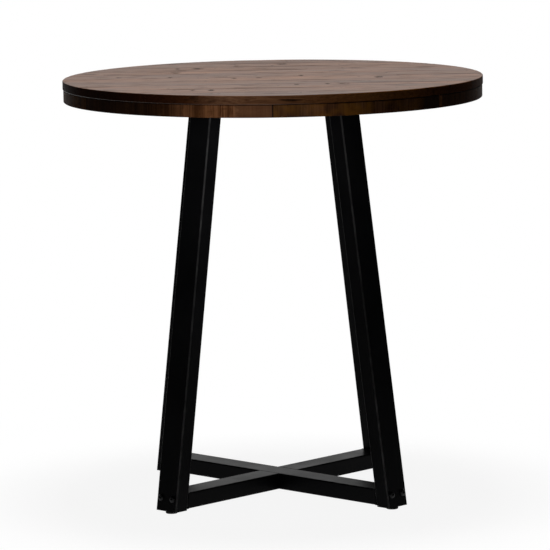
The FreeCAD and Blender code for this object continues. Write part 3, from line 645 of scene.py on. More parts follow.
# %% Start and end of a tree
def start_tree(name, sizes):
    """New tree with one named input for each size; gives the tree and its inputs."""
    tree = bpy.data.node_groups.new(name, "GeometryNodeTree")
    tree.interface.new_socket("Geometry", in_out="OUTPUT", socket_type="NodeSocketGeometry")
    tree.interface.new_socket("Geometry", in_out="INPUT", socket_type="NodeSocketGeometry")
    for size, kind in sizes.items():
        tree.interface.new_socket(size, in_out="INPUT", socket_type=f"NodeSocket{kind}")
    tree.interface.new_socket("Material", in_out="INPUT", socket_type="NodeSocketMaterial")
    return tree, add_node(tree, "NodeGroupInput").outputs


def end_tree(tree, geometry, sizes):
    """Realize the instances and set the material, as the last two nodes."""
    real = node_out(tree, "GeometryNodeRealizeInstances", {"Geometry": geometry})
    painted = node_out(tree, "GeometryNodeSetMaterial", {"Geometry": real, "Material": sizes["Material"]})
    add_node(tree, "NodeGroupOutput", {0: painted})
    print(tree.name, len(tree.nodes), "nodes")


print("tree helpers ready")

# %% Run a tree
MERGE_DISTANCE = 1e-6
SMOOTH_ANGLE = math.radians(40)


def run_tree(tree, name, source, values):
    """Run the tree on a source mesh and keep its result as a plain closed mesh."""
    piece = bpy.data.objects.new(name, source)
    scene.collection.objects.link(piece)
    modifier = piece.modifiers.new(tree.name, "NODES")
    modifier.node_group = tree
    for socket in tree.interface.items_tree:
        if socket.in_out == "INPUT" and socket.name in values:
            modifier[socket.identifier] = values[socket.name]
    depsgraph = bpy.context.evaluated_depsgraph_get()
    plain = bpy.data.meshes.new_from_object(piece.evaluated_get(depsgraph), preserve_all_data_layers=True,
                                            depsgraph=depsgraph)
    piece.modifiers.clear()
    piece.data = plain
    plain.name = name
    close_mesh(plain)
    plain.shade_smooth()
    plain.set_sharp_from_angle(angle=SMOOTH_ANGLE)
    return piece


def close_mesh(mesh):
    """Merge a mesh's doubles, turn its faces outwards and print what it is."""
    cleaned = bmesh.new()
    cleaned.from_mesh(mesh)
    bmesh.ops.remove_doubles(cleaned, verts=cleaned.verts, dist=MERGE_DISTANCE)
    bmesh.ops.recalc_face_normals(cleaned, faces=cleaned.faces)
    loose = sum(not edge.is_manifold for edge in cleaned.edges)
    volume = round(cleaned.calc_volume() * 1e9)
    print(mesh.name, len(cleaned.faces), "faces,", loose, "open edges,", volume, "mm3")
    cleaned.to_mesh(mesh)
    cleaned.free()


def dress(piece, body, slot, *replaced):
    """Let a finished piece ride on a body and stand for CAD nodes; the slot is not used."""
    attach(piece, body)
    if replaced:
        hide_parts(*replaced)


print("run helpers ready")

# %% [markdown]
# ## Sections of the boards
#
# Ten tongue and groove boards make a disc 914 mm across. A board could be cut from the disc with a
# Boolean, but that leaves long thin triangles, on which bevels and wear look torn. Here each board is a
# section swept along X. The section is drawn as small cells, closer together near the joints, so that
# both ends of the board have clean faces and the joints have points that can be lowered. The first and
# the last board also get columns that follow the round outline.

# %% Board columns
BOARD_BEVEL = 0.0008
EDGE_EASE = 0.0012
TONGUE = 0.007
GROOVE = 0.0072
# Distances of the columns from a joint, and the count of steps along the round outline.
JOINT_COLUMNS = (BOARD_BEVEL, 0.0025, 0.006)
INNER_COLUMNS = (0.0, *JOINT_COLUMNS, 0.012, 0.024, 0.036)
ROUND_STEPS = 44


def board_columns(front, rear, first, last):
    """Places across a board where its section is divided, closer together near its joints."""
    if not first and not last:
        columns = [front + place for place in INNER_COLUMNS] + [rear - place for place in INNER_COLUMNS]
        return sorted(columns + [front + GROOVE])
    side = -1 if first else 1
    outer = side * TOP_RADIUS
    inner = rear if first else front
    reach = math.acos(inner / outer)
    columns = [outer * math.cos(reach * step / ROUND_STEPS) for step in range(ROUND_STEPS + 1)]
    columns += [inner + side * place for place in JOINT_COLUMNS]
    return sorted(columns + ([front + GROOVE] if last else []))


print("boards", round(BOARD_WIDTH * 1000, 2), "mm wide, tongues", round(TONGUE * 1000, 1), "mm")


# %% Board sections
# Heights of the tongue and of the groove above the board's underside.
TONGUE_LEVELS = (0.0065, 0.0125)
GROOVE_LEVELS = (0.0063, 0.0127)


def board_section(index):
    """Section of a board as a flat mesh of cells, with Y along the mesh's X and Z along its -Y."""
    first, last = index == 0, index == BOARD_COUNT - 1
    front = index * BOARD_WIDTH - TOP_RADIUS
    rear = front + BOARD_WIDTH
    levels = sorted({0.0, EDGE_EASE, *GROOVE_LEVELS, *TONGUE_LEVELS, BOARD_THICKNESS - EDGE_EASE,
                     BOARD_THICKNESS - BOARD_BEVEL, BOARD_THICKNESS})
    columns = board_columns(front, rear, first, last) + ([] if last else [rear + TONGUE])
    corners = [(column, -(BOARD_UNDERSIDE + level), 0) for column in columns for level in levels]
    faces = []
    for across in range(len(columns) - 1):
        middle = (columns[across] + columns[across + 1]) / 2
        for up in range(len(levels) - 1):
            level = (levels[up] + levels[up + 1]) / 2
            if not first and middle < front + GROOVE and GROOVE_LEVELS[0] < level < GROOVE_LEVELS[1]:
                continue
            if middle > rear and not TONGUE_LEVELS[0] < level < TONGUE_LEVELS[1]:
                continue
            corner = across * len(levels) + up
            cell = [corner, corner + len(levels), corner + len(levels) + 1, corner + 1]
            uppermost = up == len(levels) - 2
            if uppermost and not first and middle < front + BOARD_BEVEL:
                cell.pop()
            elif uppermost and not last and rear - BOARD_BEVEL < middle < rear:
                cell.pop(2)
            faces.append(cell)
    section = bpy.data.meshes.new(f"board_section_{index + 1:02d}")
    section.from_pydata(corners, [], faces)
    return section


print("sections ready for", BOARD_COUNT, "boards")

# %% [markdown]
# ## Sweeping a section along the board
#
# The sweep makes the skin of a board that runs from -1 to 1 along X, and two copies of the section close
# its ends. Curve to Mesh can fill its own caps, but with one large face, which can't follow the round
# outline; the section's cells can.

# %% Sweep of a board
tree, size = start_tree("round_top_board", {
    "Outline Radius": "Float", "Top Level": "Float", "Thickness": "Float", "Edge Ease": "Float",
    "Stations": "Int", "Front Joint": "Float", "Rear Joint": "Float", "Front Opening": "Vector",
    "Rear Opening": "Vector", "Wear Reach": "Float", "Wear Depth": "Float", "Seed": "Float"})
neighbours = node_out(tree, "GeometryNodeInputMeshEdgeNeighbors")
border = node_out(tree, "FunctionNodeCompare", {2: neighbours, 3: 1}, data_type="INT", operation="EQUAL")
loop = node_out(tree, "GeometryNodeMeshToCurve", {"Mesh": size["Geometry"], "Selection": border})
line = node_out(tree, "GeometryNodeCurvePrimitiveLine", {"Start": (1, 0, 0), "End": (-1, 0, 0)})
line = node_out(tree, "GeometryNodeResampleCurve", {"Curve": line, "Count": size["Stations"]})
skin = node_out(tree, "GeometryNodeCurveToMesh", {"Curve": line, "Profile Curve": loop})
position = node_out(tree, "GeometryNodeInputPosition")
drawn = split(tree, position)
raised = times(tree, drawn["Y"], -1.0)
solid = add_node(tree, "GeometryNodeJoinGeometry")
tree.links.new(skin, solid.inputs[0])
for end in (-1.0, 1.0):
    target = vector_of(tree, X=end, Y=drawn["X"], Z=raised)
    cap = node_out(tree, "GeometryNodeSetPosition", {"Geometry": size["Geometry"], "Position": target})
    tree.links.new(cap, solid.inputs[0])
print("sweep:", len(tree.nodes), "nodes so far")

# %% [markdown]
# ## The round outline
#
# Each point of the swept board is stopped where it meets the circle, by the length of the chord at its Y.
# Near the upper and the lower face the radius shrinks a little, which eases the sawn edge as sandpaper
# does; a Bevel modifier would ease the joints as well. On the first and the last board the outline is
# nearly parallel to the grain, so there the ease goes along Y: a high power of the share of the radius
# leaves all other points alone.

# %% Outline of a board
EASE_POWER = 20.0

x, y, z = split(tree, position)
from_top = minus(tree, size["Top Level"], z)
from_bottom = minus(tree, size["Thickness"], from_top)
nearest = calc(tree, "MINIMUM", from_top, from_bottom)
eased = calc(tree, "MAXIMUM", minus(tree, size["Edge Ease"], nearest), 0.0)
radius = minus(tree, size["Outline Radius"], eased)
outward = calc(tree, "DIVIDE", calc(tree, "ABSOLUTE", y), size["Outline Radius"])
share = calc(tree, "POWER", outward, EASE_POWER)
inward = times(tree, times(tree, calc(tree, "SIGN", y), share), eased)
across = minus(tree, y, inward)
chord = minus(tree, calc(tree, "POWER", radius, 2.0), calc(tree, "POWER", across, 2.0))
along = times(tree, x, calc(tree, "SQRT", calc(tree, "MAXIMUM", chord, 0.0)))
target = vector_of(tree, X=along, Y=across, Z=z)
board = node_out(tree, "GeometryNodeSetPosition", {"Geometry": solid.outputs[0], "Position": target})
print("outline:", len(tree.nodes), "nodes so far")

# %% [markdown]
# ## Worn and open joints
#
# The joints give the top its lines. On the real table they are tight in most places and open in a few.
# Dark lines alone would look painted on, so the tree lowers the upper face beside a joint, a little
# everywhere and more where the joint is open, and stores how much as the attribute that the finish reads.

# %% Joints of a board
JOINT_NOISE = {"scale": 9.0, "detail": 3.0}
JOINT_NOISE_RANGE = (0.42, 0.72)
JOINT_WEAR = (0.10, 0.60)
OPENING_FADE = 0.03
UPPER_SKIN = 0.0015

x, y, z = split(tree, position)
lane = vector_of(tree, X=x, Y=size["Seed"], Z=0.0)
ragged = span(tree, noise(tree, lane, **JOINT_NOISE), *JOINT_NOISE_RANGE, *JOINT_WEAR)
dips = []
for opening, joint, sign in (("Front Opening", "Front Joint", 1.0), ("Rear Opening", "Rear Joint", -1.0)):
    begin, finish, amount = split(tree, size[opening])
    entered = span(tree, x, minus(tree, begin, OPENING_FADE), begin, smooth=True)
    left = span(tree, x, finish, plus(tree, finish, OPENING_FADE), 1.0, 0.0, smooth=True)
    open_here = times(tree, times(tree, entered, left), amount)
    gap = times(tree, minus(tree, y, size[joint]), sign)
    close = calc(tree, "SUBTRACT", 1.0, calc(tree, "DIVIDE", gap, size["Wear Reach"]), clamp=True)
    dips.append(times(tree, plus(tree, ragged, open_here), close))
upper = calc(tree, "GREATER_THAN", z, minus(tree, size["Top Level"], UPPER_SKIN))
dip = times(tree, calc(tree, "ADD", dips[0], dips[1], clamp=True), upper)
stain = {"Geometry": board, "Name": "joint_stain", "Value": dip}
stained = node_out(tree, "GeometryNodeStoreNamedAttribute", stain, data_type="FLOAT", domain="POINT")
kept = node_out(tree, "GeometryNodeInputNamedAttribute", {"Name": "joint_stain"}, data_type="FLOAT")
drop = times(tree, times(tree, kept, size["Wear Depth"]), -1.0)
worn = node_out(tree, "GeometryNodeSetPosition", {"Geometry": stained, "Offset": vector_of(tree, Z=drop)})
end_tree(tree, worn, size)

# %% [markdown]
# ## The ten boards
#
# One tree makes all ten boards, and only the values differ: the section, the two joints, where they are
# open, the seed and the stain. The places of the open joints were read from the dark lines on the real
# top.

# %% Make the boards
# Where each joint is open, by the number of the board behind it: from, to, strength.
OPEN_JOINTS = {
    2: (-0.23, 0.104, 0.9), 3: (0.222, 0.327, 0.4), 4: (0.013, 0.104, 0.5), 5: (0.294, 0.451, 1.0),
    6: (-0.30, -0.16, 0.3), 7: (-0.12, 0.05, 0.25), 8: (-0.065, 0.117, 1.0), 9: (0.0, 0.1, 0.2),
}
# An opening beyond the table's edge, and of no strength.
CLOSED = (9.0, 9.1, 0.0)
BOARD = {"Outline Radius": TOP_RADIUS, "Top Level": TOP_LEVEL, "Thickness": BOARD_THICKNESS,
         "Edge Ease": EDGE_EASE, "Stations": 140, "Wear Reach": 0.006, "Wear Depth": 0.0009}
SEED_STEP = 3.7

boards = []
for index in range(BOARD_COUNT):
    front = index * BOARD_WIDTH - TOP_RADIUS
    piece = run_tree(tree, f"top_board_{index + 1:02d}", board_section(index), {
        **BOARD, "Front Joint": front, "Rear Joint": front + BOARD_WIDTH,
        "Front Opening": OPEN_JOINTS.get(index, CLOSED), "Rear Opening": OPEN_JOINTS.get(index + 1, CLOSED),
        "Seed": SEED_STEP * index, "Material": board_finishes[index]})
    dress(piece, "table", "plank_wood", f"plank_{index + 1:02d}")
    boards.append(piece)
print(len(boards), "boards,", sum(len(piece.data.polygons) for piece in boards), "faces")

# %% [markdown]
# ## The rim
#
# Under the boards runs a rim of seven curved blocks and one short closing block, band-sawn from thicker
# stock. Its outside shows the saw: fine upright marks, close together, over long grain that follows each
# block's own chord. The CAD nodes already have the right shape, so only the finish is new. The marks
# could be modelled, but they are a fraction of a millimetre deep, which a bump shows as well. They must
# follow the arc, so each block's coordinates are turned until the block's middle lies on +X, and the
# angle about the axis is used as the pattern's length. The same length tells where a block ends: most
# joints are dark lines of glue and stain, two show a lighter edge where the plane took the stain off, and
# beside the front joint the stain soaked in far. Towards both shoulders of the rim the blocks carry painted
# shade, at their ends and over the whole block on the right, and the front-left block is lighter towards
# the front, partly as a painted highlight. A thin dark line under the boards is partly glue and partly
# painted shade under their overhang.

# %% Rim figure
RIM_INSET = 0.0014
RIM_RADIUS = TOP_RADIUS - RIM_INSET
# About the middle of the layer under the boards, in which the rim and the battens lie.
LOWER_LAYER_LEVEL = 0.88
RIM_TONES = [(0.22, (0.034, 0.012, 0.004)), (0.5, (0.100, 0.041, 0.017)), (0.8, (0.190, 0.087, 0.041))]
AMBER = (0.170, 0.068, 0.009, 1)
# Scales of the patterns along the arc, upwards and through the block.
SAW_MARKS = (420, 5, 1)
SAW_BANDS = (38, 1.5, 1)
AMBER_SPOTS = (24, 20, 1)
AMBER_RANGE = (0.45, 0.68)
# Weights of the layers in the rim's figure.
RIM_RINGS, RIM_PATCHES = 0.10, 0.72
BAND_TONES = (-0.14, 0.22)
MARK_TONES = (-0.20, 0.20)


def rim_figure(tree, layer, marks, unrolled, saw_depth, warmth):
    """Stained figure of a rim block under its saw marks, with amber spots."""
    bands = noise(tree, squeezed(tree, unrolled, SAW_BANDS), detail=2.0)
    figure = plus(tree, times(tree, layer["rings"], RIM_RINGS), times(tree, layer["patches"], RIM_PATCHES))
    figure = plus(tree, figure, span(tree, bands, *NOISE_RANGE, *[tone * saw_depth for tone in BAND_TONES]))
    figure = plus(tree, figure, span(tree, marks, *NOISE_RANGE, *[tone * saw_depth for tone in MARK_TONES]))
    spots = noise(tree, squeezed(tree, unrolled, AMBER_SPOTS), detail=2.0)
    golden = span(tree, spots, *AMBER_RANGE, 0.0, warmth)
    return mix_colours(tree, golden, tones(tree, figure, RIM_TONES), AMBER)


print("rim", round(RIM_RADIUS, 4), "m in radius")

# %% Rim finish
RIM_DARKENED = {"streaks": 0.4, "pores": 0.75}
RIM_STREAKS = (0.62, 0.74)
# The dark line under the boards, partly glue and partly painted shade under their overhang: how far below
# them it begins and is full, and what it leaves of the colour.
GLUE_AND_SHADE_LINE = (0.0022, 0.0010)
GLUE_AND_SHADE_TONE = 0.3
# An end's line is full over this share of its width.
LINE_CORE = 0.6
RIM_ROUGHNESS = (0.58, 0.72)
RIM_FIBRE_HEIGHT = 0.25
RIM_BUMP = (0.0003, 0.5)
RIM_SHINE = 0.035


def rim_finish(name, seed, middle, angle, brightness, saw_depth, warmth, ends):
    """Dark stained block with upright saw marks round the arc, under a dark line that is partly glue and
    partly painted shade; each end has a line's width and its tone.
    """
    finish, tree, place, surface = new_finish(name)
    turned = squeezed(tree, place, (1, 1, 1), turn=(0, 0, -math.radians(middle)))
    layer = wood_layers(tree, turned, seed, (-RIM_RADIUS, LOWER_LAYER_LEVEL), turn=math.pi / 2)
    x, y, z = split(tree, turned)
    arc = times(tree, calc(tree, "ARCTAN2", y, x), RIM_RADIUS)
    unrolled = vector_of(tree, X=arc, Y=z, Z=float(seed))
    marks = noise(tree, squeezed(tree, unrolled, SAW_MARKS), detail=3.0, roughness=0.65)
    streaks = span(tree, layer["streaks"], *RIM_STREAKS)
    flaws = {"streaks": streaks, "pores": span(tree, layer["pores"], *PORES)}
    dark = weakened(tree, 1.0, flaws, RIM_DARKENED)
    # Painted shade under the boards' overhang, together with a glue line.
    line = span(tree, z, *[BOARD_UNDERSIDE - depth for depth in GLUE_AND_SHADE_LINE], 1.0, GLUE_AND_SHADE_TONE)
    dark = times(tree, dark, line)
    half = math.radians(angle / 2) * RIM_RADIUS
    for side, (width, tone) in zip((-1.0, 1.0), ends):
        line = span(tree, times(tree, arc, side), half - width, half - LINE_CORE * width, 1.0, tone)
        dark = times(tree, dark, line)
    colour = rim_figure(tree, layer, marks, unrolled, saw_depth, warmth)
    colour = shade(tree, colour, times(tree, dark, brightness))
    roughness = span(tree, marks, *NOISE_RANGE, *RIM_ROUGHNESS)
    height = plus(tree, times(tree, marks, saw_depth), times(tree, layer["fibres"], RIM_FIBRE_HEIGHT))
    connect(tree, surface, colour, roughness, height, *RIM_BUMP)
    surface.inputs["Specular IOR Level"].default_value = RIM_SHINE
    return finish


print("rim finish ready")

# %% Stain the rim
# Angle of the front joint about the axis, and the arcs of the blocks, in degrees.
RIM_JOINT = 268.5
CLOSING_ANGLE = 10.4
# Brightness and warmth of each segment, from the front joint round to the closing block. The second segment's
# darkness is painted shade on the right shoulder, and the seventh is lighter partly as a painted highlight at
# its front.
SEGMENT_TINTS_AND_SHADE = [(1.0, 1.0), (0.38, 0.2), (0.9, 0.4), (1.0, 0.1), (0.92, 0.5), (0.86, 0.2), (1.55, 0.05)]
SEGMENT_COUNT = len(SEGMENT_TINTS_AND_SHADE)
SEGMENT_ANGLE = (360 - CLOSING_ANGLE) / SEGMENT_COUNT
# Width and tone of the line at each end of a block: glue lines, but for three segments and the closing block.
# The long dark right end of the first segment and left end of the seventh are painted shade towards the rim's
# shoulders.
GLUE_LINE = (0.0016, 0.15)
SEGMENT_ENDS_AND_SHADE = {
    0: ((0.10, 0.52), (0.075, 0.20)),
    1: ((0.013, 6.0), GLUE_LINE),
    6: ((0.33, 0.20), (0.0016, 0.6)),
}
CLOSING_ENDS = ((0.0025, 1.6), (0.0036, 0.12))
RIM_SEED, CLOSING_SEED = 31, 47


def paint(node, finish):
    """Give a CAD node one finish."""
    mesh = nodes[node].data
    mesh.materials.clear()
    mesh.materials.append(finish)


# Some segments' brightness and end tones carry painted shade at the shoulders and a painted highlight at the
# front.
for index, (level, warmth) in enumerate(SEGMENT_TINTS_AND_SHADE):
    middle = RIM_JOINT + (index + 0.5) * SEGMENT_ANGLE
    ends = SEGMENT_ENDS_AND_SHADE.get(index, (GLUE_LINE, GLUE_LINE))
    finish = rim_finish(f"rim_{index + 1}_stain", RIM_SEED + index, middle, SEGMENT_ANGLE, level, 1.0, warmth,
                        ends)
    paint(f"rim_segment_{index + 1}", finish)
finish = rim_finish("rim_block_stain", CLOSING_SEED, RIM_JOINT - CLOSING_ANGLE / 2, CLOSING_ANGLE,
                    brightness=0.80, saw_depth=0.25, warmth=0.0, ends=CLOSING_ENDS)
paint("rim_closing_block", finish)
print(SEGMENT_COUNT + 1, "rim finishes")

# %% [markdown]
# ## Battens
#
# Two cross boards under the top carry the legs. Nobody sees them from a chair, so they are stained but
# not varnished. The boards' finish could be used again, but its worm holes and knots belong to the top;
# the same wood layers with a rougher, matt surface, and with the grain along the batten, are enough.

# %% Batten finish
BATTEN_TONES = [(0.0, (0.060, 0.032, 0.019)), (0.5, (0.115, 0.066, 0.041)), (1.0, (0.175, 0.105, 0.067))]
BATTEN_RINGS, BATTEN_PATCHES = 0.35, 0.55
BATTEN_FIBRES = (-0.15, 0.2)
BATTEN_PORES = (0.58, 0.68)
BATTEN_PORE_TONE = 0.65
BATTEN_PORE_DEPTH = 0.6
BATTEN_ROUGHNESS = (0.62, 0.78)
BATTEN_BUMP = (0.0003, 0.6)
BATTEN_SHINE = 0.3
BATTEN_SEED = 61


def batten_finish(name, seed, middle):
    """Matt stained board with its grain along Y."""
    finish, tree, place, surface = new_finish(name)
    layer = wood_layers(tree, place, seed, (middle, LOWER_LAYER_LEVEL), turn=math.pi / 2)
    figure = times(tree, layer["rings"], BATTEN_RINGS)
    figure = plus(tree, figure, times(tree, layer["patches"], BATTEN_PATCHES))
    figure = plus(tree, figure, span(tree, layer["fibres"], *FIBRE_RANGE, *BATTEN_FIBRES))
    pores = span(tree, layer["pores"], *BATTEN_PORES)
    colour = tones(tree, figure, BATTEN_TONES)
    colour = shade(tree, colour, span(tree, pores, 0, 1, 1.0, BATTEN_PORE_TONE))
    roughness = span(tree, layer["fibres"], *NOISE_RANGE, *BATTEN_ROUGHNESS)
    height = minus(tree, layer["fibres"], times(tree, pores, BATTEN_PORE_DEPTH))
    connect(tree, surface, colour, roughness, height, *BATTEN_BUMP)
    surface.inputs["Specular IOR Level"].default_value = BATTEN_SHINE
    return finish


for index, side in enumerate(("left", "right")):
    low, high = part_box(f"batten_{side}")
    paint(f"batten_{side}", batten_finish(f"batten_{side}_stain", BATTEN_SEED + index, (low.x + high.x) / 2))
print("2 batten finishes")

# %% [markdown]
# ## Corners of the legs
#
# The coat is painted lighter along the long corners of the legs, most of all near the floor: a painted
# highlight. The corners could be found by the Pointiness of the surface, but that depends on
# how finely the mesh is divided. Here a leg's coordinates are turned until it leans along X, and the lean
# is taken off, so that what is left is the place within the tube's section.

# %% Highlighted corners
LEAN_ANGLE = math.radians(8.5)
FOOT_RADIUS = 0.335
FOOT_LEVEL, LEG_TOP = [corner.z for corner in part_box("leg_front_left")]
TUBE_DEPTH, TUBE_WIDTH = 0.035, 0.060
# Half of a leg's level section, outwards and across.
LEG_HALF = (TUBE_DEPTH / 2 / math.cos(LEAN_ANGLE), TUBE_WIDTH / 2)
# Sum of the distances from both faces, where the painted corner highlight begins and where it is full.
CORNER_HIGHLIGHT_REACH = (0.0034, 0.0022)


def leg_axis(level):
    """Distance of a leg's middle from the table's axis at a level."""
    return FOOT_RADIUS - (level - FOOT_LEVEL) * math.tan(LEAN_ANGLE)


def corner_highlight_mask(tree, place, angle):
    """1 on the rounded long corners of the leg at an angle, 0 on its flat faces."""
    turned = squeezed(tree, place, (1, 1, 1), turn=(0, 0, -math.radians(angle)))
    x, y, z = split(tree, turned)
    axis = span(tree, z, FOOT_LEVEL, LEG_TOP, leg_axis(FOOT_LEVEL), leg_axis(LEG_TOP))
    depth = minus(tree, LEG_HALF[0], calc(tree, "ABSOLUTE", minus(tree, x, axis)))
    width = minus(tree, LEG_HALF[1], calc(tree, "ABSOLUTE", y))
    return span(tree, plus(tree, depth, width), *CORNER_HIGHLIGHT_REACH)


print("legs from", round(FOOT_LEVEL, 4), "to", round(LEG_TOP, 4), "m")

# %% [markdown]
# ## Black powder coat
#
# Legs, stretcher and plates are coated with black powder that was baked on. It has a faint orange peel,
# about a millimetre across, and a satin sheen: seen square on it is nearly black, and at a low angle, as
# on the upper faces of the stretcher, it turns grey. A coat layer on the shader would give sharp
# highlights; a dark base with a low specular level and a middling roughness does both. Handling leaves
# slightly duller patches, which vary the roughness. Each leg has a coat of its own, because the highlight
# painted along its corners follows its own angle.

# %% Powder coat
COAT_TONES = [(0.3, (0.0075, 0.0075, 0.0085)), (0.7, (0.0125, 0.0125, 0.0140)),
              (1.0, (0.0220, 0.0220, 0.0240))]
COAT_ROUGHNESS = (0.32, 0.42)
COAT_BUMP = (0.00012, 0.5)
COAT_SHINE = 0.03
SPECK_RANGE = (0.70, 0.78)
SPECK_TONE = 0.25
# How evenly the painted corner highlight is spread, and how light the coat is there, from near the floor up
# to the shins.
CORNER_HIGHLIGHT_NOISE = (0.35, 0.65)
CORNER_HIGHLIGHT_SHARE = (0.45, 1.0)
CORNER_HIGHLIGHT_LEVELS = (0.04, 0.36)
CORNER_HIGHLIGHT_TONES = (0.45, 0.11)
CORNER_HIGHLIGHT_ROUGHNESS = 0.28


def powder_coat(name, leg_angle=None):
    """Satin black coat with orange peel and dull patches, and a painted highlight along a leg's corners,
    lighter towards the floor.
    """
    finish, tree, place, surface = new_finish(name)
    peel = noise(tree, place, scale=900.0, detail=2.0)
    patches = noise(tree, place, scale=9.0, detail=4.0, roughness=0.6)
    specks = span(tree, noise(tree, place, scale=2600.0, detail=0.0), *SPECK_RANGE)
    colour = tones(tree, plus(tree, patches, times(tree, specks, SPECK_TONE)), COAT_TONES)
    roughness = span(tree, patches, *NOISE_RANGE, *COAT_ROUGHNESS)
    if leg_angle is not None:
        # The corners get a painted highlight, lighter towards the floor.
        uneven = span(tree, noise(tree, place, scale=26.0, detail=3.0), *CORNER_HIGHLIGHT_NOISE, *CORNER_HIGHLIGHT_SHARE)
        rubbed = times(tree, corner_highlight_mask(tree, place, leg_angle), uneven)
        highlight_tone = span(tree, split(tree, place)["Z"], *CORNER_HIGHLIGHT_LEVELS, *CORNER_HIGHLIGHT_TONES)
        colour = mix_colours(tree, rubbed, colour, highlight_tone)
        roughness = plus(tree, roughness, times(tree, rubbed, CORNER_HIGHLIGHT_ROUGHNESS))
    connect(tree, surface, colour, roughness, peel, *COAT_BUMP)
    surface.inputs["Specular IOR Level"].default_value = COAT_SHINE
    return finish


# Angles of the four corners about the table's axis, in degrees.
CORNERS = {"front_left": 225, "front_right": 315, "rear_right": 45, "rear_left": 135}
black_coat = powder_coat("black_powder_coat")
coated = ["stretcher_long", "stretcher_half_front_left", "stretcher_half_rear_right"]
coated += [f"{kind}_{corner}" for corner in CORNERS for kind in ("top_plate", "foot_plate", "end_plate")]
for node in coated:
    paint(node, black_coat)
for corner, angle in CORNERS.items():
    paint(f"leg_{corner}", powder_coat(f"leg_coat_{corner}", angle))
print(len(coated) + len(CORNERS), "coated pieces")

# %% [markdown]
# ## Metal and plastic fittings
#
# The bolts are black oxide steel, oily and a little brighter than the coat. Screws, nuts, sleeves,
# inserts and leveller stems are zinc plated: a grey metal whose crystals show as faint patches. The pads
# are moulded black plastic with a spark-eroded texture. One colour for each would do at this distance,
# but a library part is also seen close up, so each has a fine pattern in its colour, its roughness and
# its bump.

# %% Black oxide
OXIDE_TONES = [(0.35, (0.006, 0.006, 0.007)), (0.75, (0.020, 0.020, 0.021))]
OXIDE_ROUGHNESS = (0.26, 0.40)
OXIDE_BUMP = (0.00008, 0.4)
OXIDE_SHINE = 0.16


def black_oxide(name):
    """Dark oiled steel with rubbed spots."""
    finish, tree, place, surface = new_finish(name)
    rubbed = noise(tree, place, scale=260.0, detail=3.0)
    colour = tones(tree, rubbed, OXIDE_TONES)
    roughness = span(tree, rubbed, *NOISE_RANGE, *OXIDE_ROUGHNESS)
    connect(tree, surface, colour, roughness, noise(tree, place, scale=1500.0), *OXIDE_BUMP)
    surface.inputs["Specular IOR Level"].default_value = OXIDE_SHINE
    return finish


oxide = black_oxide("black_oxide_steel")
print("black oxide:", len(oxide.node_tree.nodes), "nodes")

# %% Zinc plate
ZINC_TONES = [(0.25, (0.33, 0.32, 0.30)), (0.6, (0.52, 0.515, 0.49)), (0.9, (0.62, 0.61, 0.57))]
CRYSTAL_SHARE, GRIME_SHARE = 0.35, 0.65
ZINC_RANGE = (0.2, 0.8)
ZINC_ROUGHNESS = (0.30, 0.48)
ZINC_BUMP = (0.00006, 0.4)


def zinc_plate(name):
    """Grey plated metal with faint crystals and a little grime."""
    finish, tree, place, surface = new_finish(name)
    cells = add_node(tree, "ShaderNodeTexVoronoi", {"Vector": place, "Scale": 420.0}).outputs["Color"]
    crystals = node_out(tree, "ShaderNodeSeparateColor", {0: cells})
    grime = noise(tree, place, scale=120.0, detail=4.0)
    tone = plus(tree, times(tree, crystals, CRYSTAL_SHARE), times(tree, grime, GRIME_SHARE))
    roughness = span(tree, tone, *ZINC_RANGE, *ZINC_ROUGHNESS)
    connect(tree, surface, tones(tree, tone, ZINC_TONES), roughness, grime, *ZINC_BUMP)
    surface.inputs["Metallic"].default_value = 1.0
    return finish


zinc = zinc_plate("zinc_plate")
for node in ("plate_inserts", "leg_bolt_sleeves", "stretcher_nuts", "foot_nuts"):
    paint(node, zinc)
print("zinc plate:", len(zinc.node_tree.nodes), "nodes")

# %% Moulded plastic
PLASTIC_TONES = [(0.35, (0.012, 0.012, 0.012)), (0.8, (0.032, 0.031, 0.030))]
SCUFFS = (60, 60, 400)
PLASTIC_ROUGHNESS = (0.55, 0.72)
PLASTIC_BUMP = (0.0001, 0.6)
PLASTIC_SHINE = 0.3


def moulded_plastic(name):
    """Matt black plastic with a fine moulded texture."""
    finish, tree, place, surface = new_finish(name)
    texture = noise(tree, place, scale=1700.0, detail=1.0)
    scuffs = noise(tree, squeezed(tree, place, SCUFFS), detail=3.0)
    roughness = span(tree, scuffs, *NOISE_RANGE, *PLASTIC_ROUGHNESS)
    connect(tree, surface, tones(tree, scuffs, PLASTIC_TONES), roughness, texture, *PLASTIC_BUMP)
    surface.inputs["Specular IOR Level"].default_value = PLASTIC_SHINE
    return finish


plastic = moulded_plastic("pad_plastic")
for corner in CORNERS:
    paint(f"leveller_pad_{corner}", plastic)
print("moulded plastic:", len(plastic.node_tree.nodes), "nodes")

# %% [markdown]
# ## Turned shapes
#
# Bolts, screws and the flanges of the levellers are turned on a lathe. A Screw modifier could turn an
# outline, but inside a tree there is none. A chain of lines does it too, each swept round a small circle:
# Curve to Mesh carries the line round, and the bands are merged into one skin. The sockets and crosses
# are cut out with a Mesh Boolean node.

# %% Turned shapes
# Radius of the circle that carries an outline round.
RING = 0.001


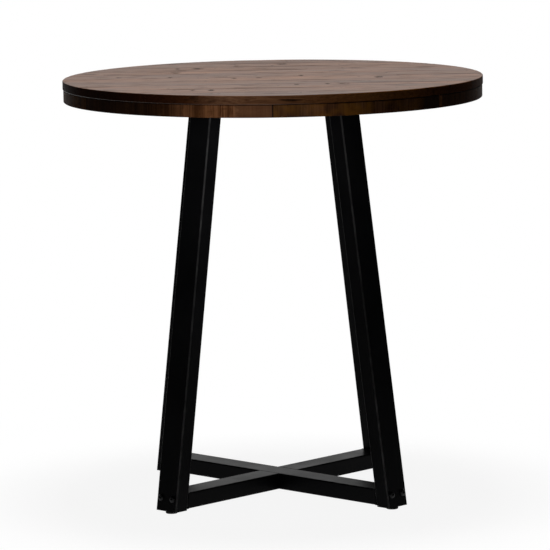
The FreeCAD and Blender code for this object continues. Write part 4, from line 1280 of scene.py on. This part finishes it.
def turned_shape(tree, outline, sides):
    """Surface of revolution about Z through an outline of radii and heights, which may be sockets."""
    ring = node_out(tree, "GeometryNodeCurvePrimitiveCircle", {"Resolution": sides, "Radius": RING})
    corners = [vector_of(tree, X=minus(tree, radius, RING), Y=times(tree, height, -1.0))
               for radius, height in outline]
    bands = add_node(tree, "GeometryNodeJoinGeometry")
    for start, end in zip(corners, corners[1:]):
        line = node_out(tree, "GeometryNodeCurvePrimitiveLine", {"Start": start, "End": end})
        band = node_out(tree, "GeometryNodeCurveToMesh", {"Curve": ring, "Profile Curve": line})
        tree.links.new(band, bands.inputs[0])
    merged = {"Geometry": bands.outputs[0], "Distance": MERGE_DISTANCE}
    return node_out(tree, "GeometryNodeMergeByDistance", merged)


def cut_out(tree, solid, tool):
    """Solid with the tool cut out of it."""
    inputs = {"Mesh 1": solid, "Mesh 2": tool}
    return node_out(tree, "GeometryNodeMeshBoolean", inputs, operation="DIFFERENCE")


def moved(tree, geometry, height, turn=0.0):
    """Geometry raised by a height and turned about Z."""
    inputs = {"Geometry": geometry, "Translation": vector_of(tree, Z=height), "Rotation": (0, 0, turn)}
    return node_out(tree, "GeometryNodeTransform", inputs)


print("turning helpers ready")

# %% [markdown]
# ## Copies of a fastener
#
# Fasteners repeat, so one tree makes a fastener and puts a copy on every point of a small mesh. Each
# point carries the direction in which the head looks as an attribute named axis. An Array modifier would
# set them all alike; here a random value with a fixed seed turns each copy about that direction, because
# nobody lines up the sockets of real bolts.

# %% Copies on points
def copies_on_points(tree, size, fastener):
    """Fastener on each point, along the point's axis and turned by chance."""
    axis = node_out(tree, "GeometryNodeInputNamedAttribute", {"Name": "axis"}, data_type="FLOAT_VECTOR")
    upright = node_out(tree, "FunctionNodeAlignRotationToVector", {"Vector": axis}, axis="Z")
    chance = add_node(tree, "FunctionNodeRandomValue", {2: 0.0, 3: math.tau, "Seed": size["Seed"]}).outputs[1]
    spin = node_out(tree, "FunctionNodeEulerToRotation", {0: vector_of(tree, Z=chance)})
    turned = node_out(tree, "FunctionNodeRotateRotation", {"Rotation": upright, "Rotate By": spin},
                      rotation_space="LOCAL")
    inputs = {"Points": size["Geometry"], "Instance": fastener, "Rotation": turned}
    return node_out(tree, "GeometryNodeInstanceOnPoints", inputs)


def fastener_points(name, places, axes):
    """Mesh of points, each with the direction of its fastener's head."""
    mesh = bpy.data.meshes.new(name)
    mesh.from_pydata(places, [], [])
    axis = mesh.attributes.new("axis", "FLOAT_VECTOR", "POINT")
    axis.data.foreach_set("vector", [part for direction in axes for part in direction])
    return mesh


def around(angle, radial, across, height):
    """Point at a corner's angle: out from the axis, across to the left, and up."""
    turn = math.radians(angle)
    x = radial * math.cos(turn) - across * math.sin(turn)
    y = radial * math.sin(turn) + across * math.cos(turn)
    return (x, y, height)


print("fastener helpers ready")

# %% [markdown]
# ## Button-head bolts
#
# Two bolts with low domed heads go through each leg into the end of the stretcher, and four more hold
# each leg's plate to a batten. The dome is a quarter of an ellipse, worked out in the tree from the sizes
# of the head, so that a bolt of another size needs only other numbers. The hexagon socket is a six-sided
# cylinder, half of which lies in the head.

# %% Bolt tree
BOLT_SIDES = 40
DOME_STEPS = 8
HEAD_EASE = 0.0001
BOLT_TIP = 0.001

tree, size = start_tree("button_head_bolt", {
    "Head Radius": "Float", "Head Height": "Float", "Head Rim": "Float", "Crown Radius": "Float",
    "Shank Radius": "Float", "Length": "Float", "Socket Radius": "Float", "Socket Depth": "Float",
    "Seed": "Int"})
outline = [(0.0, size["Head Height"])]
for step in range(DOME_STEPS + 1):
    swing = math.radians(90 * step / DOME_STEPS)
    radius = span(tree, math.sin(swing), 0, 1, size["Crown Radius"], size["Head Radius"])
    outline.append((radius, span(tree, math.cos(swing), 0, 1, size["Head Rim"], size["Head Height"])))
outline.append((minus(tree, size["Head Radius"], HEAD_EASE), 0.0))
outline.append((size["Shank Radius"], 0.0))
end = times(tree, size["Length"], -1.0)
outline.append((size["Shank Radius"], plus(tree, end, BOLT_TIP)))
outline.append((minus(tree, size["Shank Radius"], BOLT_TIP), end))
outline.append((0.0, end))
socket_depth = times(tree, size["Socket Depth"], 2.0)
hexagon = node_out(tree, "GeometryNodeMeshCylinder",
                   {"Vertices": 6, "Radius": size["Socket Radius"], "Depth": socket_depth})
bolt = turned_shape(tree, outline, BOLT_SIDES)
bolt = cut_out(tree, bolt, moved(tree, hexagon, size["Head Height"]))
end_tree(tree, copies_on_points(tree, size, bolt), size)

# %% Leg bolts
BOLT = {"Head Radius": 0.0075, "Head Height": 0.0045, "Head Rim": 0.0012, "Crown Radius": 0.0034,
        "Shank Radius": 0.004, "Socket Radius": 0.005 / math.sqrt(3), "Socket Depth": 0.0028,
        "Material": oxide}
# Distance of a bolt from the tube's edge, and its rise above the middle of the stretcher's bar.
BOLT_EDGE = 0.013
BOLT_RISE = 0.002
LEG_BOLT_LENGTH = 0.0475

bar_low, bar_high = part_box("stretcher_long")
seat_level = (bar_low.z + bar_high.z) / 2 + BOLT_RISE + TUBE_DEPTH * math.sin(LEAN_ANGLE)
seat_radius = leg_axis(seat_level) + LEG_HALF[0]
aside = LEG_HALF[1] - BOLT_EDGE
seats = [(angle, across) for angle in CORNERS.values() for across in (-aside, aside)]
places = [around(angle, seat_radius, across, seat_level) for angle, across in seats]
axes = [around(angle, math.cos(LEAN_ANGLE), 0.0, math.sin(LEAN_ANGLE)) for angle, across in seats]
points = fastener_points("leg_bolt_points", places, axes)
leg_bolts = run_tree(tree, "leg_bolts_detailed", points, {**BOLT, "Length": LEG_BOLT_LENGTH, "Seed": 5})
dress(leg_bolts, "table", "bolt_black", "leg_bolts")

# %% Plate bolts
# Distance of a plate's bolt from the leg's face, and half the distance between two of them across the leg.
PLATE_BOLT_OFFSET = 0.024
PLATE_BOLT_ASIDE = 0.032
PLATE_BOLT_LENGTH = 0.019
DOWN = (0, 0, -1)

outward = LEG_HALF[0] + PLATE_BOLT_OFFSET
places = [around(angle, leg_axis(LEG_TOP) + radial, across, LEG_TOP) for angle in CORNERS.values()
          for radial in (-outward, outward) for across in (-PLATE_BOLT_ASIDE, PLATE_BOLT_ASIDE)]
points = fastener_points("plate_bolt_points", places, [DOWN] * len(places))
plate_bolts = run_tree(tree, "plate_bolts_detailed", points, {**BOLT, "Length": PLATE_BOLT_LENGTH, "Seed": 8})
dress(plate_bolts, "table", "bolt_black", "plate_bolts")

# %% [markdown]
# ## Countersunk screws
#
# Wood screws hold the rim and the battens to the boards from below, with their heads flush. Their threads
# are inside the wood, so the shank stays plain. The cross in the head is cut by one bar twice, turned by
# a quarter; the second time it is lifted by a tenth of a millimetre, because faces in one plane upset a
# Boolean.

# %% Screw tree
SCREW_SIDES = 32
SCREW_EASE = 0.0001
SCREW_LAND = 0.0004
SCREW_POINT = 0.0003
CROSS_LIFT = 0.0001

tree, size = start_tree("countersunk_screw", {
    "Head Radius": "Float", "Head Height": "Float", "Shank Radius": "Float", "Length": "Float",
    "Tip Length": "Float", "Cross Size": "Vector", "Seed": "Int"})
end = times(tree, size["Length"], -1.0)
neck = times(tree, size["Head Height"], -1.0)
outline = [(0.0, 0.0), (minus(tree, size["Head Radius"], SCREW_EASE), 0.0),
           (size["Head Radius"], -SCREW_EASE), (size["Head Radius"], -SCREW_LAND),
           (size["Shank Radius"], neck), (size["Shank Radius"], plus(tree, end, size["Tip Length"])),
           (SCREW_POINT, end), (0.0, end)]
screw = turned_shape(tree, outline, SCREW_SIDES)
arm = node_out(tree, "GeometryNodeMeshCube", {"Size": size["Cross Size"]})
screw = cut_out(tree, cut_out(tree, screw, arm), moved(tree, arm, CROSS_LIFT, math.pi / 2))
end_tree(tree, copies_on_points(tree, size, screw), size)

# %% Rim screws
SCREW = {"Head Radius": 0.0042, "Head Height": 0.0026, "Shank Radius": 0.0021, "Length": 0.038,
         "Tip Length": 0.004, "Cross Size": (0.0012, 0.005, 0.0018), "Material": zinc}
RIM_WIDTH = 0.070
# Where the screws sit along the closing block and along a segment, as shares of the arc.
CLOSING_SHARES = (1 / 4, 3 / 4)
SEGMENT_SHARES = (1 / 6, 3 / 6, 5 / 6)

batten_low, batten_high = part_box("batten_right")
screw_level = batten_low.z
angles = [RIM_JOINT - CLOSING_ANGLE * share for share in CLOSING_SHARES]
angles += [RIM_JOINT + SEGMENT_ANGLE * (index + share) for index in range(SEGMENT_COUNT)
           for share in SEGMENT_SHARES]
places = [around(angle, RIM_RADIUS - RIM_WIDTH / 2, 0.0, screw_level) for angle in angles]
points = fastener_points("rim_screw_points", places, [DOWN] * len(places))
rim_screws = run_tree(tree, "rim_screws_detailed", points, {**SCREW, "Seed": 13})
dress(rim_screws, "table", "zinc_steel", "rim_screws")

# %% Batten screws
# Distance of the screws from a batten's long edges.
SCREW_MARGIN = 0.009

# Each board gets screws in the middle of the stretch that lies over the batten, from the outermost board in.
reach = batten_high.y
starts = [BOARD_WIDTH * board for board in range(int(reach / BOARD_WIDTH), -1, -1)]
rows = [(start + min(start + BOARD_WIDTH, reach)) / 2 for start in starts]
columns = (batten_low.x + SCREW_MARGIN, batten_high.x - SCREW_MARGIN)
places = [(side * x, end * y, screw_level) for side in (-1, 1) for x in columns
          for end in (-1, 1) for y in rows]
points = fastener_points("batten_screw_points", places, [DOWN] * len(places))
batten_screws = run_tree(tree, "batten_screws_detailed", points, {**SCREW, "Seed": 21})
dress(batten_screws, "table", "zinc_steel", "batten_screws")

# %% [markdown]
# ## Flange and hexagon of a leveller
#
# A leveller's stem has a flange that turns in the pad, a hexagon for the spanner and a threaded rod.
# Flange and hexagon are simple solids. The hexagon and the rod reach a little into their neighbours,
# because a Boolean union of parts that only touch can leave them apart.

# %% Flange and hexagon
FLANGE_SIDES = 48
FLANGE_EASE = 0.0003
HEXAGON_SUNK = 0.0004
HEXAGON_TURN = 0.35

tree, size = start_tree("leveller_stem", {
    "Foot": "Vector", "Flange Radius": "Float", "Flange Level": "Float", "Hexagon Radius": "Float",
    "Hexagon Level": "Float", "Shoulder": "Float", "Thread Radius": "Float", "Thread Depth": "Float",
    "Pitch": "Float", "End": "Float", "Turn": "Float"})
eased_radius = minus(tree, size["Flange Radius"], FLANGE_EASE)
flange = turned_shape(tree, [
    (0.0, size["Flange Level"]), (eased_radius, size["Flange Level"]),
    (size["Flange Radius"], plus(tree, size["Flange Level"], FLANGE_EASE)),
    (size["Flange Radius"], minus(tree, size["Hexagon Level"], FLANGE_EASE)),
    (eased_radius, size["Hexagon Level"]), (0.0, size["Hexagon Level"])], FLANGE_SIDES)
tall = plus(tree, minus(tree, size["Shoulder"], size["Hexagon Level"]), HEXAGON_SUNK)
middle = times(tree, plus(tree, size["Shoulder"], size["Hexagon Level"]), 0.5)
hexagon = node_out(tree, "GeometryNodeMeshCylinder",
                   {"Vertices": 6, "Radius": size["Hexagon Radius"], "Depth": tall})
hexagon = moved(tree, hexagon, minus(tree, middle, HEXAGON_SUNK / 2), HEXAGON_TURN)
print("flange and hexagon:", len(tree.nodes), "nodes so far")

# %% [markdown]
# ## Thread of a leveller
#
# A screw thread is a rule too: the radius depends on the height and on the angle about the axis, and one
# turn of the angle is worth one pitch of the height. A profile could be swept along a helix, but its ends
# and its seam are hard to close. The tree takes a finely divided cylinder instead and moves its points in
# or out by that rule, so the rod stays closed.

# %% Thread
ROD_SIDES = 40
ROD_STEPS = 126
ROD_SUNK = 0.001
ROD_TIP = 0.001
# Distances from the middle of the groove, in turns, where its floor ends and where the crest begins.
GROOVE_FLANK = (0.06, 0.44)

begin = minus(tree, size["Shoulder"], ROD_SUNK)
rod_length = minus(tree, size["End"], begin)
rod = node_out(tree, "GeometryNodeMeshCylinder", {
    "Vertices": ROD_SIDES, "Side Segments": ROD_STEPS, "Depth": rod_length, "Radius": size["Thread Radius"]})
rod = moved(tree, rod, plus(tree, begin, times(tree, rod_length, 0.5)))
position = node_out(tree, "GeometryNodeInputPosition")
x, y, z = split(tree, position)
lead = calc(tree, "DIVIDE", calc(tree, "ARCTAN2", y, x), math.tau)
phase = calc(tree, "FRACT", minus(tree, calc(tree, "DIVIDE", z, size["Pitch"]), lead))
groove = span(tree, calc(tree, "ABSOLUTE", minus(tree, phase, 0.5)), *GROOVE_FLANK, 1.0, 0.0)
tip = span(tree, z, minus(tree, size["End"], ROD_TIP), size["End"])
cut = calc(tree, "MAXIMUM", times(tree, groove, size["Thread Depth"]), times(tree, tip, ROD_TIP))
share = minus(tree, 1.0, calc(tree, "DIVIDE", cut, size["Thread Radius"]))
narrowed = {0: position, 1: vector_of(tree, X=share, Y=share, Z=1.0)}
threaded = node_out(tree, "ShaderNodeVectorMath", narrowed, operation="MULTIPLY")
rod = node_out(tree, "GeometryNodeSetPosition", {"Geometry": rod, "Position": threaded})
print("thread:", len(tree.nodes), "nodes so far")

# %% [markdown]
# ## Leveller stems
#
# The three solids become one by a Boolean union, and the stem is turned and moved to its foot. The four
# stems are alike, but each is a piece of its own rather than one of a group, because each one turns by
# itself.

# %% Join a stem
union = add_node(tree, "GeometryNodeMeshBoolean", operation="UNION")
for solid in (rod, hexagon, flange):
    tree.links.new(solid, union.inputs["Mesh 2"])
placed = {"Geometry": union.outputs[0], "Translation": size["Foot"],
          "Rotation": vector_of(tree, Z=size["Turn"])}
end_tree(tree, node_out(tree, "GeometryNodeTransform", placed), size)

# %% Place the stems
STEM = {"Flange Radius": 0.009, "Flange Level": 0.0014, "Hexagon Radius": 0.013 / math.sqrt(3),
        "Hexagon Level": 0.0027, "Shoulder": 0.006, "Thread Radius": 0.004, "Thread Depth": 0.00068,
        "Pitch": 0.00125, "End": 0.0278, "Material": zinc}
# Turn from one stem to the next, in radians.
STEM_TURN = 0.4

for index, (corner, angle) in enumerate(CORNERS.items()):
    stem = run_tree(tree, f"stem_detailed_{corner}", bpy.data.meshes.new(f"stem_seed_{corner}"),
                    {**STEM, "Foot": around(angle, FOOT_RADIUS, 0.0, 0.0), "Turn": STEM_TURN * index})
    dress(stem, f"stem_{corner}", "zinc_steel", f"leveller_stem_{corner}")

# %% [markdown]
# ## Weld beads
#
# Each leg is welded to its plate all round. A bead follows the seam, and its height ripples where the
# welder paused. A bevelled curve would give a smooth rope; the tree resamples the seam, sweeps a round
# section along it and lets the section's size rise and fall with the length run so far. Half of the bead
# lies inside the steel, as a real weld does. The seam is drawn as a loop of points with rounded corners.

# %% Weld tree
BEAD_STEP = 0.0009
BEAD_SIDES = 12

tree, size = start_tree("weld_bead", {"Bead Radius": "Float", "Ripple": "Float", "Ripple Length": "Float"})
seam = node_out(tree, "GeometryNodeMeshToCurve", {"Mesh": size["Geometry"]})
seam = node_out(tree, "GeometryNodeResampleCurve", {"Curve": seam, "Length": BEAD_STEP}, mode="LENGTH")
run = add_node(tree, "GeometryNodeSplineParameter").outputs["Length"]
wave = calc(tree, "SINE", times(tree, calc(tree, "DIVIDE", run, size["Ripple Length"]), math.tau))
swell = plus(tree, times(tree, wave, size["Ripple"]), 1.0)
section = node_out(tree, "GeometryNodeCurvePrimitiveCircle",
                   {"Resolution": BEAD_SIDES, "Radius": size["Bead Radius"]})
bead = node_out(tree, "GeometryNodeCurveToMesh", {"Curve": seam, "Profile Curve": section, "Scale": swell})
end_tree(tree, bead, size)

# %% Weld the legs
# The seam lies a little below the leg's top and outside its faces, and follows its rounded corners.
SEAM_LEVEL = LEG_TOP - 0.0007
SEAM_OFFSET = 0.0006
SEAM_CORNER = 0.004
CORNER_STEPS = 6
QUARTERS = ((1, 1), (-1, 1), (-1, -1), (1, -1))
BEAD = {"Bead Radius": 0.0022, "Ripple": 0.10, "Ripple Length": 0.0031, "Material": black_coat}

half = [length + SEAM_OFFSET - SEAM_CORNER for length in LEG_HALF]
corners, edges = [], []
for angle in CORNERS.values():
    first = len(corners)
    for turn, (outward, leftward) in enumerate(QUARTERS):
        for step in range(CORNER_STEPS + 1):
            swing = math.radians(90 * (turn + step / CORNER_STEPS))
            radial = leg_axis(SEAM_LEVEL) + outward * half[0] + SEAM_CORNER * math.cos(swing)
            across = leftward * half[1] + SEAM_CORNER * math.sin(swing)
            corners.append(around(angle, radial, across, SEAM_LEVEL))
    loop = list(range(first, len(corners)))
    edges += list(zip(loop, loop[1:] + loop[:1]))
seams = bpy.data.meshes.new("weld_seams")
seams.from_pydata(corners, edges, [])
welds = run_tree(tree, "weld_beads", seams, BEAD)
dress(welds, "table", "black_steel")
